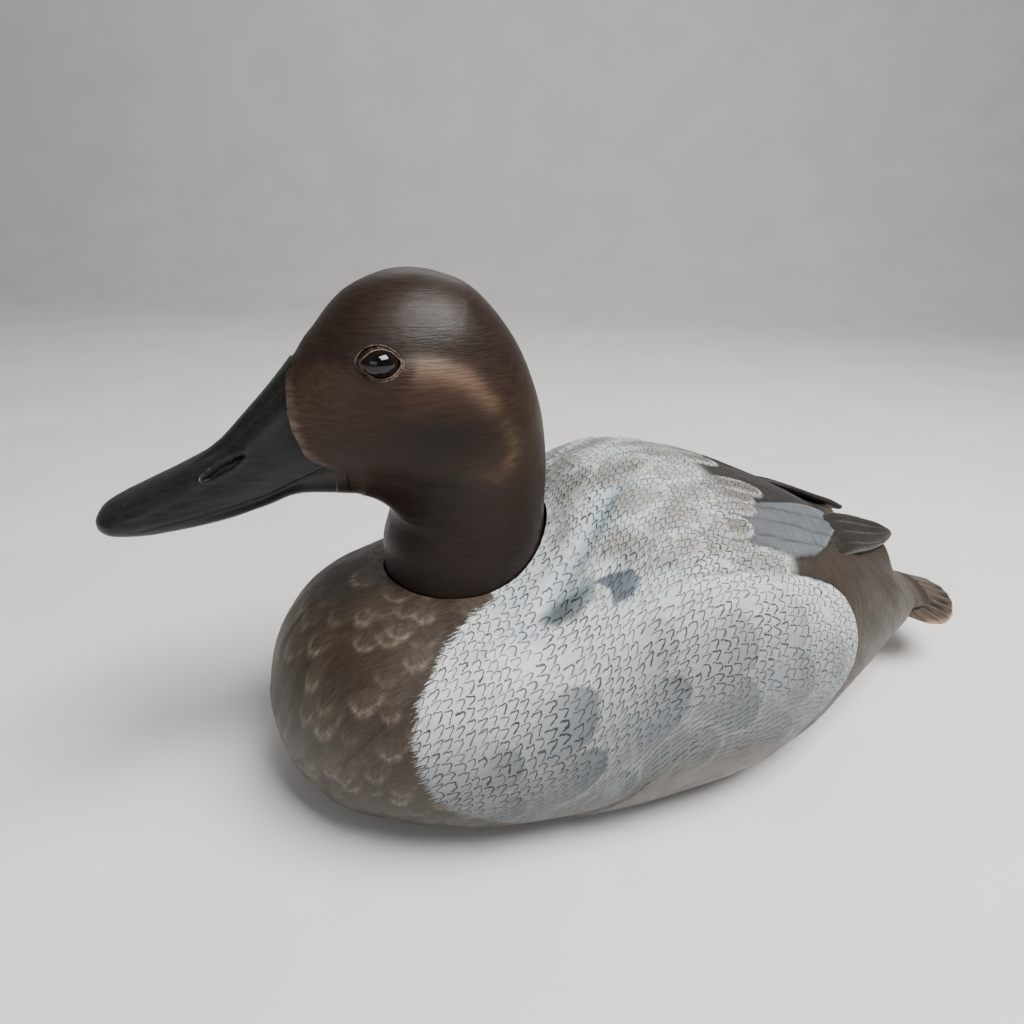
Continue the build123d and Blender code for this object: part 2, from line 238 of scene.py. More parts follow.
class Paint:
    """A material under construction. Its methods add nodes and give back sockets."""

    def __init__(self, name):
        self.material = bpy.data.materials.new(name)
        self.material.use_nodes = True
        self.tree = self.material.node_tree
        self.tree.nodes.clear()
        self.out = self.tree.nodes.new("ShaderNodeOutputMaterial")
        self.surface = self.tree.nodes.new("ShaderNodeBsdfPrincipled")
        self.tree.links.new(self.surface.outputs[0], self.out.inputs["Surface"])

    def put(self, socket, value):
        if isinstance(value, bpy.types.NodeSocket):
            self.tree.links.new(value, socket)
        elif isinstance(value, (int, float)) or socket.type == "VALUE":
            socket.default_value = float(value)
        elif socket.type == "RGBA":
            socket.default_value = (*[float(v) for v in value][:3], 1.0)
        else:
            socket.default_value = [float(v) for v in value]

    def math(self, operation, *values, clamp=False):
        node = self.tree.nodes.new("ShaderNodeMath")
        node.operation = operation
        node.use_clamp = clamp
        for socket, value in zip(node.inputs, values):
            self.put(socket, value)
        return node.outputs[0]

    def add(self, a, b):
        return self.math("ADD", a, b)

    def times(self, a, b):
        return self.math("MULTIPLY", a, b)

    def rest(self, a):
        """One minus a."""
        return self.math("SUBTRACT", 1.0, a)

    def weigh(self, a, share, b, other_share):
        return self.add(self.times(a, share), self.times(b, other_share))

    def vector(self, operation, *values, scale=None):
        node = self.tree.nodes.new("ShaderNodeVectorMath")
        node.operation = operation
        for socket, value in zip(node.inputs, values):
            self.put(socket, value)
        if scale is not None:
            self.put(node.inputs["Scale"], scale)
        return node.outputs["Value" if operation in ("LENGTH", "DOT_PRODUCT") else "Vector"]

    def split(self, vector):
        node = self.tree.nodes.new("ShaderNodeSeparateXYZ")
        self.put(node.inputs[0], vector)
        return node.outputs[0], node.outputs[1], node.outputs[2]

    def join(self, x, y, z=0.0):
        node = self.tree.nodes.new("ShaderNodeCombineXYZ")
        for socket, value in zip(node.inputs, (x, y, z)):
            self.put(socket, value)
        return node.outputs[0]

    def attribute(self, name, output="Vector"):
        node = self.tree.nodes.new("ShaderNodeAttribute")
        node.attribute_name = name
        return node.outputs[output]

    def place(self):
        """Object coordinates in millimetres."""
        node = self.tree.nodes.new("ShaderNodeTexCoord")
        return self.vector("SCALE", node.outputs["Object"], scale=1000.0)

    def noise(self, where, stretch=(1, 1, 1), scale=1.0, detail=3.0, rough=0.55, output="Fac", shift=0.0):
        """Noise about 1/scale mm across, drawn out where a stretch number is small."""
        node = self.tree.nodes.new("ShaderNodeTexNoise")
        moved = self.vector("MULTIPLY_ADD", where, stretch, (shift, shift * 0.7, shift * 1.3))
        self.put(node.inputs["Vector"], moved)
        self.put(node.inputs["Scale"], scale)
        self.put(node.inputs["Detail"], detail)
        self.put(node.inputs["Roughness"], rough)
        return node.outputs["Color" if output == "Color" else "Fac"]

    def cells(self, where):
        node = self.tree.nodes.new("ShaderNodeTexWhiteNoise")
        node.noise_dimensions = "2D"
        self.put(node.inputs["Vector"], where)
        return node.outputs["Color"]

    def ramp(self, value, low, high, start=0.0, end=1.0):
        node = self.tree.nodes.new("ShaderNodeMapRange")
        node.interpolation_type = "SMOOTHSTEP"
        for socket, v in zip(node.inputs, (value, low, high, start, end)):
            self.put(socket, v)
        return node.outputs[0]

    def mix(self, factor, a, b, blend="MIX"):
        node = self.tree.nodes.new("ShaderNodeMix")
        node.data_type = "RGBA"
        node.blend_type = blend
        self.put(node.inputs["Factor"], factor)
        self.put(node.inputs[6], a)
        self.put(node.inputs[7], b)
        return node.outputs[2]

    def shade(self, colour, factor):
        """Colour times a number."""
        return self.vector("SCALE", colour, scale=factor)

    def bump(self, height, depth):
        """Depth in mm for a height of one."""
        node = self.tree.nodes.new("ShaderNodeBump")
        self.put(node.inputs["Distance"], depth * MM)
        self.put(node.inputs["Height"], height)
        self.tree.links.new(node.outputs[0], self.surface.inputs["Normal"])

    def done(self, colour, roughness, metallic=0.0, coat=0.0, coat_roughness=0.1, specular=0.5):
        for name, value in (
            ("Base Color", colour), ("Roughness", roughness), ("Metallic", metallic), ("Coat Weight", coat),
            ("Coat Roughness", coat_roughness), ("Specular IOR Level", specular),
        ):
            self.put(self.surface.inputs[name], value)
        return self.material

    def stroke(self, p, start, end):
        """Distance from p to the straight piece between two points."""
        a, b = Vector((*start, 0)), Vector((*end, 0))
        d = b - a
        rel = self.vector("SUBTRACT", p, tuple(a))
        h = self.times(self.vector("DOT_PRODUCT", rel, tuple(d)), 1 / d.length_squared)
        h = self.math("MAXIMUM", self.math("MINIMUM", h, 1.0), 0.0)
        return self.vector("LENGTH", self.vector("SUBTRACT", rel, self.vector("SCALE", tuple(d), scale=h)))

    def hooks(self, where, along, down, width, path, seed, keep=0.88, wobble=0.5):
        """Rows of brushed strokes, one to a cell; the strokes follow a path drawn in mm."""
        p = where
        # strokes wander in long and middling waves, and shake
        for scale, reach, turn in ((0.11, 4.0, 1), (0.02, 13.0, 2), (0.7, wobble, 3)):
            wander = self.noise(where, scale=scale, detail=1.0, output="Color", shift=seed * turn)
            offset = self.vector("SUBTRACT", wander, (0.5,) * 3)
            p = self.vector("ADD", p, self.vector("SCALE", offset, scale=reach))
        x, y, _ = self.split(p)
        x = self.times(x, 1 / along)
        column = self.math("FLOOR", x)
        lift = self.split(self.cells(self.join(column, seed)))[0]
        y = self.add(self.times(y, 1 / down), self.times(lift, 0.9))
        row = self.math("FLOOR", y)
        random = self.cells(self.join(column, self.add(row, seed * 7.0)))
        r1, r2, r3 = self.split(random)
        jitter = self.times(self.add(r1, -0.5), 0.14)
        fx = self.times(self.add(self.math("SUBTRACT", x, column), jitter), along)
        fy = self.times(self.math("SUBTRACT", y, row), down)
        local = self.join(fx, fy)
        gap = None
        for a, b in zip(path[:-1], path[1:]):
            d = self.stroke(local, a, b)
            gap = d if gap is None else self.math("MINIMUM", gap, d)
        thick = self.times(self.add(0.8, self.times(r2, 0.45)), width / 2)
        ink = self.rest(self.ramp(self.math("DIVIDE", gap, thick), 0.6, 1.5))
        drawn = self.times(ink, self.math("LESS_THAN", r3, keep))
        return self.times(drawn, self.add(0.84, self.times(r1, 0.16)))


# ---------------------------------------------------------------- body skin

# Body sections: station, top, widest height, bottom, half width, upper and lower roundness
BODY = np.array([
    (NOSE, 34, 34, 34, 0, 2.0, 2.0),
    (46.2, 43, 34, 24, 11, 2.0, 2.0), (49, 52, 34, 14, 21, 2.0, 2.0),
    (54, 60, 35, 7, 31.5, 2.0, 2.0), (62, 68, 37, 1, 42, 2.05, 2.1),
    (73, 73.5, 39, -2.5, 51, 2.1, 2.2), (86, 76.5, 40, -4, 58.5, 2.1, 2.3),
    (100, 79, 41, -5.5, 63.5, 2.1, 2.35), (114, 81.5, 42, -7, 66.5, 2.1, 2.4),
    (128, 86.5, 42, -8, 68, 2.1, 2.4), (142, 97, 42, -9, 69, 2.1, 2.4),
    (156, 107, 42, -9, 69.5, 2.1, 2.4), (170, 111.5, 43, -9, 69.5, 2.1, 2.4),
    (188, 110, 43, -9, 68.5, 2.1, 2.4), (208, 104, 44, -8, 66, 2.1, 2.4),
    (228, 96, 45, -5.5, 61, 2.1, 2.4), (248, 86.5, 46, 1.5, 53, 2.1, 2.3),
    (265, 76, 46, 11, 45.5, 2.1, 2.3), (282, 66, 44, 19, 37.5, 2.15, 2.2),
    (298, 54, 39, 24, 28.5, 2.2, 2.2), (308, 46.5, 37, 27, 22, 2.2, 2.2),
])
ROWS = 470
HALF_COLUMNS = 190
END_ROWS = 26            # the rump closing in over the tail's root
END_LENGTH = 20.0
END_HEIGHT = 36.6
END_NARROWING = 0.32
SPLIT_STATION = 172      # the skin is parted here to keep each piece light


def body_half():
    """Left half of the body as a grid, with station and distance down from the ridge of each point."""
    q = np.sqrt(BODY[:, 0] - NOSE)
    fine = np.linspace(0.03, q[-1], 1600)
    curve = cubic(fine, q, BODY[:, 1:])
    run = np.r_[0, np.cumsum(np.hypot(np.diff(NOSE + fine**2), np.diff(curve[:, 3])))]
    pick = np.interp(np.linspace(0, run[-1], ROWS), run, fine)
    sections = cubic(pick, q, BODY[:, 1:])
    stations = NOSE + pick**2
    points = np.zeros((ROWS + END_ROWS, HALF_COLUMNS, 3))
    across = np.zeros((ROWS + END_ROWS, HALF_COLUMNS))
    t = np.linspace(pi / 2, -pi / 2, 900)
    for r in range(ROWS):
        top, wide, bottom, half, upper, lower = sections[r]
        e = np.where(t >= 0, 2 / upper, 2 / lower)
        reach = np.where(t >= 0, top - wide, wide - bottom)
        x = half * np.abs(np.cos(t)) ** e
        z = wide + reach * np.sign(np.sin(t)) * np.abs(np.sin(t)) ** e
        keep = z >= 0.25
        x, z = x[keep], z[keep]
        w = np.r_[0, np.cumsum(np.hypot(np.diff(x), np.diff(z)))]
        at = np.linspace(0, w[-1], HALF_COLUMNS)
        points[r, :, 0] = np.interp(at, w, x)
        points[r, :, 1] = stations[r]
        points[r, :, 2] = np.interp(at, w, z)
        across[r] = at
    last = points[ROWS - 1].copy()
    for k in range(END_ROWS):
        q = (k + 1) / END_ROWS
        ring = last.copy()
        ring[:, 0] = last[:, 0] * (1 - END_NARROWING * q)
        droop = TAIL_DROOP * (ring[:, 0] / TAIL_HALF) ** 2 * smooth(q, 0, 1)
        closing = 0.02 + 0.98 * (1 - q) ** 1.35
        ring[:, 2] = END_HEIGHT + (last[:, 2] - END_HEIGHT) * closing - droop
        ring[:, 1] = BODY_END + END_LENGTH * q
        points[ROWS + k] = ring
        across[ROWS + k] = across[ROWS - 1]
    station = points[:, :, 1].copy()
    points[:, :, 1] -= MIDDLE
    return points, station, across


half_points, half_station, half_across = body_half()
flip = np.array([-1.0, 1.0, 1.0])
skin = np.concatenate([half_points[:, :0:-1] * flip, half_points], axis=1)
station = np.concatenate([half_station[:, :0:-1], half_station], axis=1)
across = np.concatenate([half_across[:, :0:-1], half_across], axis=1)
side = np.sign(skin[:, :, 0])
rows, columns = station.shape
skin_faces = grid_faces(rows, columns)
flat = skin.reshape(-1, 3)
base_normals = vertex_normals(flat, skin_faces)
probe = rows // 2 * columns + columns // 4
if base_normals[probe].dot(flat[probe] - [0, 0, 45]) < 0:
    skin_faces = skin_faces[:, ::-1]
    base_normals = -base_normals
S, W, SIDE = station.ravel(), across.ravel(), side.ravel()
SEEDED = S + SIDE * 400      # the two sides get different noise

# Plumage colours
PALE = tone(196, 202, 203)
CREAM = tone(214, 214, 208)
GREY_FEATHER = tone(104, 113, 120)
TAUPE = tone(126, 121, 112)
SHADOW_BLUE = tone(66, 73, 79)
SLATE = tone(92, 96, 100)
TERTIAL = tone(34, 30, 28)
RUMP = tone(51, 41, 33)
BREAST = tone(49, 39, 31)
BREAST_TIP = tone(150, 138, 122)
LOW_TAN = tone(128, 114, 102)

BREAST_EDGE = [
    (113, 22), (114.4, 31.1), (104, 35.2), (92.9, 44.1), (84.6, 54.9), (82.2, 64.7),
    (83.8, 76.4), (87.9, 87.7), (96.3, 98), (108, 109), (122, 121), (136, 150),
]
POCKET_EDGE = [
    (120, 44), (129.2, 47.9), (140.6, 52.0), (151.1, 58.8), (164.3, 60.8), (178.3, 60.4), (194.9, 59.1),
    (212.3, 57.5), (226.7, 57), (233, 59.5), (237.5, 64.5), (239.8, 72.5), (239, 83), (233.3, 94.7),
    (222, 108), (212, 124), (204, 150),
]
GROOVE = [(164, 15), (154.6, 23.9), (146.7, 30.1), (135.4, 38.3), (128, 43.5)]


class Plumage:
    """Height and paint of the skin, built up feather by feather."""

    def __init__(self):
        n = len(S)
        self.height = np.zeros(n)
        self.paint = np.tile(PALE, (n, 1))
        self.mark = np.c_[S, W, np.ones(n)]
        self.dash = np.zeros(n)
        self.edge = np.zeros(n)

    def blend(self, colour, weight):
        self.paint = over(self.paint, colour, weight)

    def spot(self, s, w, rs, rw, colour, strength, turn=0.0, seed=3):
        """Soft patch of paint; turn is in degrees from the station axis."""
        a = radians(turn)
        ds, dw = S - s, W - w
        u = (ds * cos(a) + dw * sin(a)) / rs
        v = (-ds * sin(a) + dw * cos(a)) / rw
        r = np.sqrt(u * u + v * v) + 0.25 * cloud(SEEDED, W, 5.0, seed)
        self.blend(colour, strength * (1 - smooth(r, 0.45, 1.15)))

    def feather(self, root, tip, half, lift, colour, rim, rim_width, marks, dark_edge, strength=1.0,
                soft=0.35, streak=None):
        """One feather lying from root to tip; marks is how strongly it is barred."""
        root, tip = np.array(root, float), np.array(tip, float)
        length = np.hypot(*(tip - root))
        d = (tip - root) / length
        u = ((S - root[0]) * d[0] + (W - root[1]) * d[1]) / length
        v = -(S - root[0]) * d[1] + (W - root[1]) * d[0]
        near = (u > -0.1) & (u < 1.1) & (np.abs(v) < half * 1.3)
        start = 1 - min(half * 1.5, length * 0.9) / length
        k = np.clip((u - start) / (1 - start), 0, 1)
        outline = half * np.maximum(1 - k**2, 0) ** 0.5
        outline = outline * (0.72 + 0.28 * smooth(u, 0, 0.6))
        gap = np.minimum(outline - np.abs(v), (1 - u) * length * 0.8)
        mask = near & (u > 0) & (gap > 0)
        body = smooth(gap, 0, soft * 2) * mask
        fade = smooth(u, 0.0, 0.3)
        rise = lift * (0.25 + 0.75 * u) * fade
        raised = self.height * (1 - body * fade) + rise * body + self.height * body * fade * 0.35
        self.height = np.where(mask, raised, self.height)
        cover = body * fade * strength
        self.blend(colour, cover)
        patchy = 0.62 + 0.38 * value_noise(SEEDED, W, 4.0, 77)
        near_rim = 1 - smooth(gap, rim_width * 0.5, rim_width * 1.5)
        self.blend(rim, cover * patchy * near_rim * smooth(u, 0.25, 0.6))
        if streak is not None:
            self.blend(streak, cover * (1 - smooth(np.abs(v), 0.2, 0.5)) * 0.6)
        marked = self.mark[:, 2] * (1 - fade) + marks * fade
        self.mark[:, 2] = np.where(mask, marked, self.mark[:, 2])
        line = (1 - smooth(np.abs(gap + 0.35), 0.2, 0.9)) * smooth(u, 0.3, 0.7) * (u < 1.08) * near
        self.edge = np.where(mask, self.edge * (1 - body), self.edge)
        self.edge = np.maximum(self.edge, line * dark_edge)


plumage = Plumage()
breast_gap, _ = spine_distance(S, W, BREAST_EDGE)
breast_inside = inside(S, W, [(20, -10), (113, -10)] + BREAST_EDGE + [(136, 200), (20, 200)])
breast_signed = np.where(breast_inside, breast_gap, -breast_gap)
pocket_gap, pocket_along = spine_distance(S, W, POCKET_EDGE)
pocket_inside = inside(S, W, POCKET_EDGE + [(204, 220), (60, 220), (60, 60)])

# Rump and back of the body
rear = smooth(S + 0.25 * (W - 55), 206, 214)
not_pocket = np.where(pocket_inside, smooth(pocket_gap, 0.6, 0.0), 1.0)
rump = np.where(W > 34, rear, smooth(S, 190, 200)) * not_pocket
plumage.blend(RUMP, rump)
plumage.blend(TERTIAL, rump * (1 - smooth(W, 26, 34)) * (1 - smooth(S, 262, 284)))
plumage.blend(RUMP * 0.62, rump * smooth(cloud(SEEDED, W, 9.0, 11), 0.0, 0.8) * 0.7)
plumage.mark[:, 2] *= 1 - rump
plumage.blend(tone(48, 40, 35), smooth(S, 283, 308) * 0.5)

# Cream on the upper flank as painted highlight, a pale patch further forward, grey and tan lower down
flank = np.where(pocket_inside, smooth(pocket_gap, 0, 2), 0)
plumage.blend(CREAM, flank * bell(W - 70, 14) * smooth(S, 120, 150) * 0.75)
plumage.blend(CREAM, bell(W - 58, 16) * bell(S - 100, 14) * 0.6)
plumage.blend(tone(142, 148, 151), smooth(W, 86, 110) * (1 - rump) * 0.6)
plumage.blend(LOW_TAN, smooth(W, 106, 126) * (1 - rump) * 0.75)
# painted shade: the lower flank darkened, away from the overhead light
plumage.paint *= (1 - 0.36 * smooth(W, 64, 104) * (1 - rump))[:, None]
plumage.blend(tone(178, 188, 196), (1 - rump) * smooth(cloud(SEEDED, W, 13.0, 21), 0.05, 0.6) * 0.4)
plumage.mark[:, 2] *= 1 - smooth(W, 116, 132)
plumage.dash = smooth(W + 3 * value_noise(SEEDED, W, 8, 5), 92, 108)
plumage.dash -= smooth(S, 134, 146) * not_pocket

# Soft grey feather shadows on the flank, each with a darker rear edge
FLANK_FEATHERS = [
    (134.6, 77, 25, 10.5, 1.0), (136.4, 96, 24, 10, 0.95), (111, 83, 17, 9, 0.55), (160, 74, 23, 9.5, 0.45),
    (163, 93, 24, 10.5, 0.75), (188, 82, 23, 10, 0.5), (189, 101, 23, 10, 0.7), (210, 74, 20, 9, 0.4),
    (213, 92, 20, 9.5, 0.5), (230, 82, 18, 8, 0.45), (147, 113, 21, 9, 0.5), (175, 115, 21, 9, 0.5),
    (113, 101, 16, 8, 0.45), (207, 113, 16, 8, 0.4),
]
for rear_s, rear_w, long, half, depth in FLANK_FEATHERS:
    d = np.hypot((S - rear_s + long * 0.5) / (long * 0.5), (W - rear_w) / half)
    d = d + 0.10 * cloud(SEEDED, W, 7.0, 31)
    within = (1 - smooth(d, 0.80, 1.08)) * flank
    toward_rear = smooth(S - rear_s + long, long * 0.05, long * 0.95)
    plumage.blend(GREY_FEATHER, within * toward_rear * depth * 0.85)
    fringe = bell(d - 1.14, 0.08) * smooth(S - rear_s + long, long * 0.2, long * 0.7) * flank
    plumage.blend(CREAM * 0.85, fringe * depth * 0.5)
    rim = bell(d - 0.93, 0.07) * smooth(S - rear_s + long, long * 0.45, long * 0.8) * flank
    plumage.blend(tone(70, 79, 88), rim * depth * 0.6)
    plumage.height += 0.32 * within * toward_rear * depth

# Scapular mass: soft taupe patches on white, and a groove with painted shade in blue-grey
for s, w, rs, rw, turn, k in [
    (151, 39, 8, 5, -30, 0.75), (166, 40, 8, 5, -20, 0.7), (174, 36, 8, 4, -15, 0.75),
    (178, 6, 13, 4, 5, 0.7), (163, 15, 10, 5, 0, 0.7), (150, 10, 9, 5, 0, 0.65),
    (173, 50, 8, 5, 0, 0.6), (160, 52, 8, 4.5, 0, 0.55), (188, 12, 10, 3.5, 0, 0.6),
    (140, 22, 6, 4, -30, 0.5), (186, 27, 10, 3.5, -10, 0.65), (142, 14, 6, 4, 0, 0.55),
]:
    plumage.spot(s, w, rs, rw, TAUPE, k, turn)
groove_gap, _ = spine_distance(S, W, GROOVE)
plumage.height -= 1.3 * bell(groove_gap, 3.4)
plumage.height += 0.7 * bell(groove_gap - 7.5, 4.0) * (W < 52)
# painted shade: blue-grey in the groove, deeper where it ends at the flank pocket
plumage.blend(tone(132, 148, 160), bell(groove_gap, 3.2) * 0.75)
plumage.spot(132.5, 46.8, 10.5, 4.6, SHADOW_BLUE, 0.85, 12, seed=41)
plumage.spot(139, 45, 5, 3, tone(92, 104, 116), 0.7, 0, seed=43)

# Flank pocket: full inside its edge, with a shallow valley outside it
crisp = smooth(pocket_along, 0.10, 0.34)
ledge = 0.5 + 0.9 * crisp
plumage.height += np.where(
    pocket_inside, ledge * (1 - np.exp(-pocket_gap / (4.5 - 3.2 * crisp))) - 0.15,
    -0.55 * (0.4 + 0.6 * crisp) * np.exp(-pocket_gap / 3.0),
)
# painted shadow: a dark line in the valley just outside the pocket's crisp raised edge
plumage.edge = np.maximum(plumage.edge, (~pocket_inside) * crisp * 0.85 * (1 - smooth(pocket_gap, 0.1, 1.6)))

# Tertials, dark and long, from the rear forward
for root, tip, half in [
    ((214, 27), (266, 24), 6.0), ((206, 20), (276, 13), 7.0), ((198, 11), (281, 5), 7.5),
    ((196, 5), (250, 16), 7.0), ((190, 14), (238, 24), 5.5),
]:
    plumage.feather(root, tip, half, lift=0.9, colour=TERTIAL, rim=tone(40, 37, 35), rim_width=1.0, marks=0,
                    dark_edge=0.9, streak=tone(30, 27, 25))
# Speculum: one slate panel, its feathers parted by dark lines
SPECULUM = [
    (188, 40), (210.5, 29.5), (232, 21.5), (251, 14.8), (255, 18.2), (250.5, 26), (241.4, 34), (233, 41.6),
    (223.3, 48.2), (214, 51.2), (197, 51.6), (186, 50),
]
panel_gap, _ = spine_distance(S, W, SPECULUM + SPECULUM[:1])
in_panel = inside(S, W, SPECULUM)
cover = np.where(in_panel, smooth(panel_gap, 0, 0.6), 0)
plumage.height = plumage.height * (1 - cover) + (0.9 + 0.014 * (S - 205)) * cover
plumage.blend(SLATE * (1 + 0.12 * value_noise(SEEDED, W * 3, 9, 78))[:, None], cover)
plumage.blend(tone(128, 134, 138), cover * (1 - smooth(panel_gap, 0.6, 1.7)) * smooth(S, 220, 235) * 0.7)
plumage.mark[:, 2] *= 1 - cover
plumage.edge *= 1 - cover
for line in (
    [(196, 39.5), (216, 37.8), (230, 37), (241.4, 34)],
    [(192, 46), (212, 45.6), (226, 43.4), (232.4, 42.2)],
    [(206, 33.5), (226, 29.4), (244, 25), (252, 23.4)],
):
    gap, _ = spine_distance(S, W, line)
    plumage.height -= 0.35 * bell(gap, 0.7) * cover
    plumage.edge = np.maximum(plumage.edge, (1 - smooth(gap, 0.1, 0.6)) * cover * 0.8)
outside_panel = (~in_panel) * (1 - smooth(panel_gap, 0.1, 1.4)) * smooth(S, 206, 216)
plumage.edge = np.maximum(plumage.edge, outside_panel)
# Scapulars and coverts with pale, barred rims
for root, tip, half, mark in [
    ((182, 56), (208.5, 55.5), 5.6, 1.0), ((172, 50), (194.5, 51.5), 5.4, 1.0),
    ((176, 44), (198.5, 44.2), 5.0, 1.0), ((186, 23), (216, 22.5), 4.6, 1.0),
    ((184, 36), (204, 35.4), 4.0, 0.9), ((184, 29), (208, 29.5), 4.2, 0.9),
    ((172, 5), (208, 5), 6.0, 1.0), ((166, 40), (184, 41), 5.6, 0.9), ((168, 31), (190, 31.5), 5.8, 0.9),
    ((168, 20), (191, 21.0), 5.8, 0.8), ((150, 12), (178, 12.5), 7.5, 0.9), ((152, 28), (174, 30), 6.5, 0.9),
    ((140, 6), (160, 5), 7.0, 1.0), ((158, 50), (178, 51), 6.0, 1.0), ((148, 44), (164, 47), 5.5, 1.0),
]:
    centre = TAUPE if mark > 0.85 else tone(150, 148, 142)
    plumage.feather(root, tip, half, lift=0.85, colour=centre, rim=tone(210, 214, 213), rim_width=half * 0.42,
                    marks=mark, dark_edge=0.4, strength=0.72, soft=0.5)
# Painted shade: a crisp dark wedge in the crease between the scapulars and the flank
wedge = [(140.5, 44.6), (146.7, 46), (152.5, 49.2), (153.6, 53.3), (150.5, 56.8), (143.6, 55.6), (144.3, 50.5)]
wedge_gap, _ = spine_distance(S, W, wedge + wedge[:1])
plumage.blend(tone(70, 80, 90), np.where(inside(S, W, wedge), smooth(wedge_gap, 0, 0.7), 0) * 0.95)

# Breast: brown, with soft pale tips in loose rows
breast = np.tile(BREAST, (len(S), 1))
breast = breast * (1 + 0.22 * cloud(SEEDED, W, 11.0, 51))[:, None]
# painted shade: the breast darker towards the underside, away from the overhead light
breast = breast * (1 - 0.55 * smooth(W, 62, 115))[:, None]
rng = np.random.default_rng(12)
tips = []
for row in range(17):
    radius = 14 + 6.6 * row
    places = max(3, int(radius * 0.62 * 3.3 / 7.6))
    for k in range(places):
        if rng.uniform() > 0.9:
            continue
        angle = -0.15 + 3.3 * (k + 0.5 * (row % 2) + rng.uniform(-0.3, 0.3)) / places
        tips.append((
            angle, radius + rng.uniform(-2.6, 2.6), rng.uniform(1.9, 3.6),
            rng.uniform(0.15, 0.72), rng.uniform(0.7, 1.3),
        ))
X, Z = flat[:, 0], flat[:, 2]
around = np.arctan2(np.abs(X), -(flat[:, 1] + MIDDLE - 96.0))      # 0 ahead, a right angle at the side
down = np.hypot(S - 96, W) * 0.5 + np.hypot(np.maximum(96 - S, 0), W) * 0.5
for angle, radius, width, strength, thick in tips:
    v = (around - angle) * np.maximum(down * 0.62, 12)
    u = down - radius + v * v / (width * 1.3)
    spread = bell(v, width, 4)
    lens = bell(u, thick) * spread
    trail = np.exp(-np.maximum(-u, 0) / 3.2) * (u < 0) * spread
    rays = 0.5 + 0.5 * value_noise(v * 3 + SIDE * 40, u * 0.4, 1.0, 61)
    breast = over(breast, BREAST_TIP, np.minimum(strength * (0.8 * lens + 0.5 * trail) * rays, 0.8))
    swell = np.exp(-np.maximum(-u, 0) / 4) * (u < 0.3) * spread
    plumage.height += breast_inside * 0.22 * swell * strength
plumage.height += 0.35 * cloud(SEEDED, W, 16.0, 71) * (S < 280)
plumage.height += 0.05 * value_noise(SEEDED, W, 2.2, 72)
plumage.edge *= ~breast_inside

fade_end = 1 - smooth(S, 290, 304)
relief = np.clip(plumage.height * fade_end + 0.25, -2.0, 2.2)
relief *= smooth(Z, 0.4, 5.0) * 0.9 + 0.1
# low on the side the paint stays proud of the board's edge
relief = np.where(Z < 24, np.maximum(relief, 0.15), relief)
shaped = flat + base_normals * relief[:, None]
# the rump rises to meet the underside of the wing tips
bed_x = np.interp(S, WING[2:, 0], WING[2:, 1])
bed_z = np.interp(S, WING[2:, 0], WING[2:, 2]) - 2.2
off_line = np.abs(shaped[:, 0]) - bed_x
bed_rise = np.maximum(bed_z - 0.53 * off_line - shaped[:, 2], 0) * bell(off_line, 8.5, 4)
bed_rise *= smooth(S, 246, 260) * (1 - smooth(S, 284.5, 289)) * (shaped[:, 2] > 40)
shaped[:, 2] = np.maximum(shaped[:, 2] + bed_rise, 0.2)

# Round opening for the neck
neck_y = NECK_STATION - MIDDLE
plan = np.hypot(shaped[:, 0], shaped[:, 1] - neck_y)
centres = shaped[skin_faces].mean(1)
ahead = np.hypot(centres[:, 0], centres[:, 1] - neck_y) > SEAT_RADIUS
ahead |= centres[:, 2] < 60
kept = skin_faces[ahead]
counts = np.bincount(skin_faces[~ahead].ravel(), minlength=len(flat))
lip = np.zeros(len(flat), bool)
lip[np.intersect1d(np.unique(kept), np.nonzero(counts)[0])] = True
pull = SEAT_RADIUS / np.maximum(plan[lip], 1)
dx, dy = shaped[lip, 0] * (pull - 1), (shaped[lip, 1] - neck_y) * (pull - 1)
n = base_normals[lip]
shaped[lip, 0] += dx
shaped[lip, 1] += dy
shaped[lip, 2] -= (n[:, 0] * dx + n[:, 1] * dy) / np.maximum(n[:, 2], 0.35)
skin_normals = vertex_normals(shaped, kept)
# painted shade: the flank darkened as it turns under, most of all behind the breast
underside_shade = 1 - 0.43 * smooth(W, 50, 88) * (1 - rump) - 0.14 * smooth(W, 48, 76) * (1 - smooth(S, 108, 150))
plumage.paint *= underside_shade[:, None]
skin_layers = {
    "paint": np.clip(plumage.paint, 0, 1),
    "breast": np.clip(breast, 0, 1),
    "mark": plumage.mark,
    "info": np.c_[breast_signed, plumage.dash, plumage.edge],
    "side": np.c_[SEEDED, W, rump],
}


